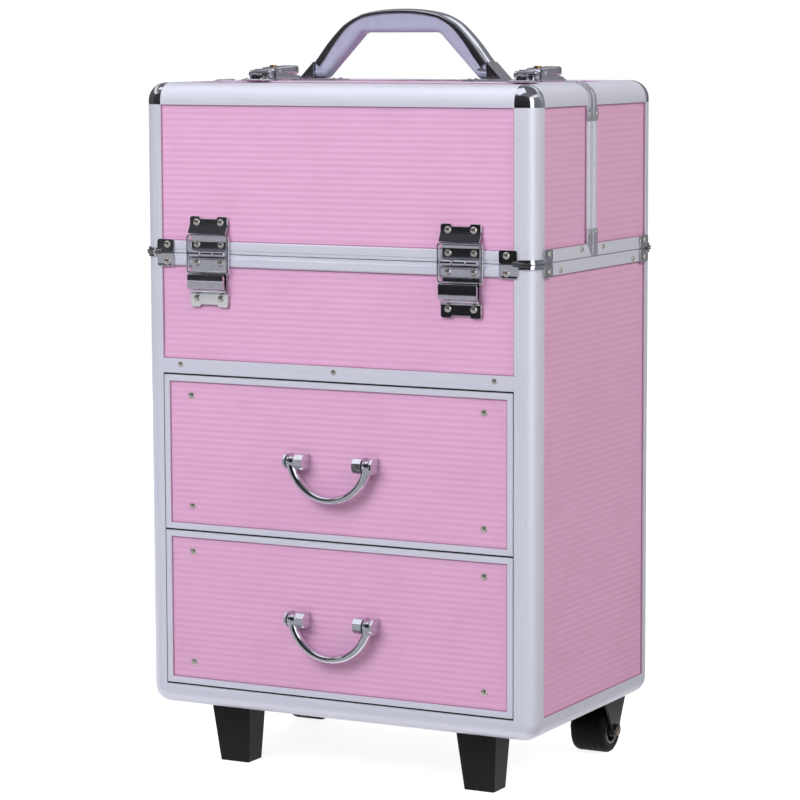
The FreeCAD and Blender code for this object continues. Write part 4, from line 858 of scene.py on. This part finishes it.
# camera in metres and degrees, from the lines of the case
view = {"place": (1.2295, -2.3230, 0.6180), "yaw": 27.907, "pitch": 6.788, "roll": 0.193, "lens": 141.34,
        "sensor": 36.0, "farClip": 50.0}
yaw, pitch, roll = (math.radians(view[key]) for key in ("yaw", "pitch", "roll"))
ahead = Vector((-math.sin(yaw) * math.cos(pitch), math.cos(yaw) * math.cos(pitch), -math.sin(pitch)))
right = Vector((math.cos(yaw), math.sin(yaw), 0))
down = ahead.cross(right)
rightRolled = right * math.cos(roll) + down * math.sin(roll)
downRolled = down * math.cos(roll) - right * math.sin(roll)
lens = bpy.data.cameras.new("camera")
lens.lens, lens.sensor_width, lens.clip_end = view["lens"], view["sensor"], view["farClip"]
camera = bpy.data.objects.new("camera", lens)
turn = Matrix((rightRolled, -downRolled, -ahead)).transposed()
camera.matrix_world = Matrix.Translation(Vector(view["place"])) @ turn.to_4x4()
bpy.context.scene.collection.objects.link(camera)
bpy.context.scene.camera = camera


# studio in metres: pale floor, soft lamps, cards that only the metal sees
studio = {"cardTint": "F2F3FF", "worldLight": 0.33, "floor": "B4B4B4", "floorGlow": 0.9, "floorHalf": 30.0}


def bareTree(owner):
    owner.use_nodes = True
    owner.node_tree.nodes.clear()
    return owner.node_tree


def flatSheet(name, material, halfX, halfY):
    data = bpy.data.meshes.new(name)
    corners = [(-halfX, -halfY, 0), (halfX, -halfY, 0), (halfX, halfY, 0), (-halfX, halfY, 0)]
    data.from_pydata(corners, [], [(0, 1, 2, 3)])
    data.materials.append(material)
    return bpy.data.objects.new(name, data)


def aimed(item, place, target):
    aim = Vector(target) - Vector(place)
    item.matrix_world = Matrix.Translation(Vector(place)) @ aim.to_track_quat("-Z", "Y").to_matrix().to_4x4()
    bpy.context.scene.collection.objects.link(item)


def lamp(name, place, target, size, power, colour="FFFFFF"):
    data = bpy.data.lights.new(name, "AREA")
    data.shape, data.size, data.size_y, data.energy = "RECTANGLE", size[0], size[1], power
    data.color = linear(colour)[:3]
    item = bpy.data.objects.new(name, data)
    aimed(item, place, target)
    item.visible_glossy = False  # the cards below are what shines in the metal


# place, target, width and height, watts
lamp("keyLamp", (-0.4, -1.85, 1.55), (0, 0, 0.4), (1.5, 1.2), 32)
lamp("fillLamp", (2.3, -0.4, 2.0), (0, 0, 0.3), (1.0, 1.0), 36, "FFFDEA")
lamp("backLamp", (-1.3, 2.3, 0.9), (0, 0, 0.35), (1.4, 1.2), 16)


def card(name, place, target, size, shades):  # shades at its low and high edge
    material = bpy.data.materials.new(name)
    tree = bareTree(material)
    spot = addNode(tree, "ShaderNodeTexCoord").outputs["Generated"]
    rise = addNode(tree, "ShaderNodeSeparateXYZ", links={"Vector": spot}).outputs["Y"]
    shade = addNode(tree, "ShaderNodeMapRange", {"To Min": shades[0], "To Max": shades[1]}, {"Value": rise})
    glow = addNode(tree, "ShaderNodeEmission", {"Color": linear(studio["cardTint"])},
                   {"Strength": shade.outputs["Result"]})
    addNode(tree, "ShaderNodeOutputMaterial", links={"Surface": glow.outputs[0]})
    item = flatSheet(name, material, size[0] / 2, size[1] / 2)
    aimed(item, place, target)
    item.visible_camera = item.visible_diffuse = item.visible_shadow = item.visible_transmission = False


# place, target, width and height, shades
card("frontCard", (0.68, -1.5, 1.1), (0.68, 0, 1.1), (2.85, 2.16), (0.015, 0.07))
card("frontLeftCard", (-1.77, -1.5, 1.225), (-1.77, 0, 1.225), (2.07, 1.91), (0.04, 0.08))
card("leftCard", (-3.2, 0.25, 1.2), (0, 0.25, 1.2), (4.1, 2.4), (0.08, 0.15))
card("rightCard", (3.4, 0.8, 1.2), (0, 0.8, 1.2), (3.4, 2.8), (0.2, 0.3))
card("ceilingCard", (0, -0.4, 3.4), (0, -0.4, 0), (6.0, 6.0), (0.25, 0.15))
card("backCard", (-1.2, 2.3, 1.7), (-1.2, 0, 1.7), (4.5, 3.4), (0.08, 0.5))
card("backRightCard", (2.25, 2.3, 1.7), (2.25, 0, 1.7), (2.4, 3.4), (0.2, 0.8))
card("floorCard", (-0.75, -1.83, 0.004), (-0.75, -1.83, -1), (4.5, 3.36), (0.5, 0.5))
card("sideFloorCard", (1.5, 0.7, 0.004), (1.5, 0.7, -1), (2.6, 2.6), (0.3, 0.3))
card("topSoftbox", (-0.6, -0.45, 2.6), (-0.3, -0.2, 0.5), (1.8, 1.5), (1.3, 1.3))
card("backSoftbox", (0.1, 2.2, 2.05), (0.1, 0, 1.4), (1.3, 0.5), (1.3, 1.3))
card("sideSoftbox", (2.2, -1.15, 1.0), (0, 0, 0.6), (0.9, 1.9), (2.4, 2.8))


def seenRays(tree):  # 1 for rays of the camera, of gloss and through glass, else 0
    ray = addNode(tree, "ShaderNodeLightPath").outputs
    seen = ray["Is Camera Ray"]
    for kind in ("Is Glossy Ray", "Is Transmission Ray"):
        seen = addNode(tree, "ShaderNodeMath", {"operation": "MAXIMUM"}, {0: seen, 1: ray[kind]}).outputs[0]
    return seen


world = bpy.data.worlds.new("studio")
bpy.context.scene.world = world
tree = bareTree(world)
power = addNode(tree, "ShaderNodeMapRange", {"To Min": studio["worldLight"], "To Max": 1.0},
                {"Value": seenRays(tree)})
sky = addNode(tree, "ShaderNodeBackground", {"Color": (1, 1, 1, 1)}, {"Strength": power.outputs["Result"]})
addNode(tree, "ShaderNodeOutputWorld", links={"Surface": sky.outputs[0]})

floorMaterial = bpy.data.materials.new("paleFloor")
tree = bareTree(floorMaterial)
matt = addNode(tree, "ShaderNodeBsdfDiffuse", {"Color": linear(studio["floor"])})
glow = addNode(tree, "ShaderNodeEmission", {"Color": (1, 1, 1, 1), "Strength": studio["floorGlow"]})
both = addNode(tree, "ShaderNodeAddShader", links={0: matt.outputs[0], 1: glow.outputs[0]})
plain = addNode(tree, "ShaderNodeMixShader", links={0: seenRays(tree), 1: matt.outputs[0], 2: both.outputs[0]})
addNode(tree, "ShaderNodeOutputMaterial", links={"Surface": plain.outputs[0]})
floor = flatSheet("floor", floorMaterial, studio["floorHalf"], studio["floorHalf"])
bpy.context.scene.collection.objects.link(floor)
bpy.context.scene.view_settings.view_transform = "Standard"
print("camera and studio set")
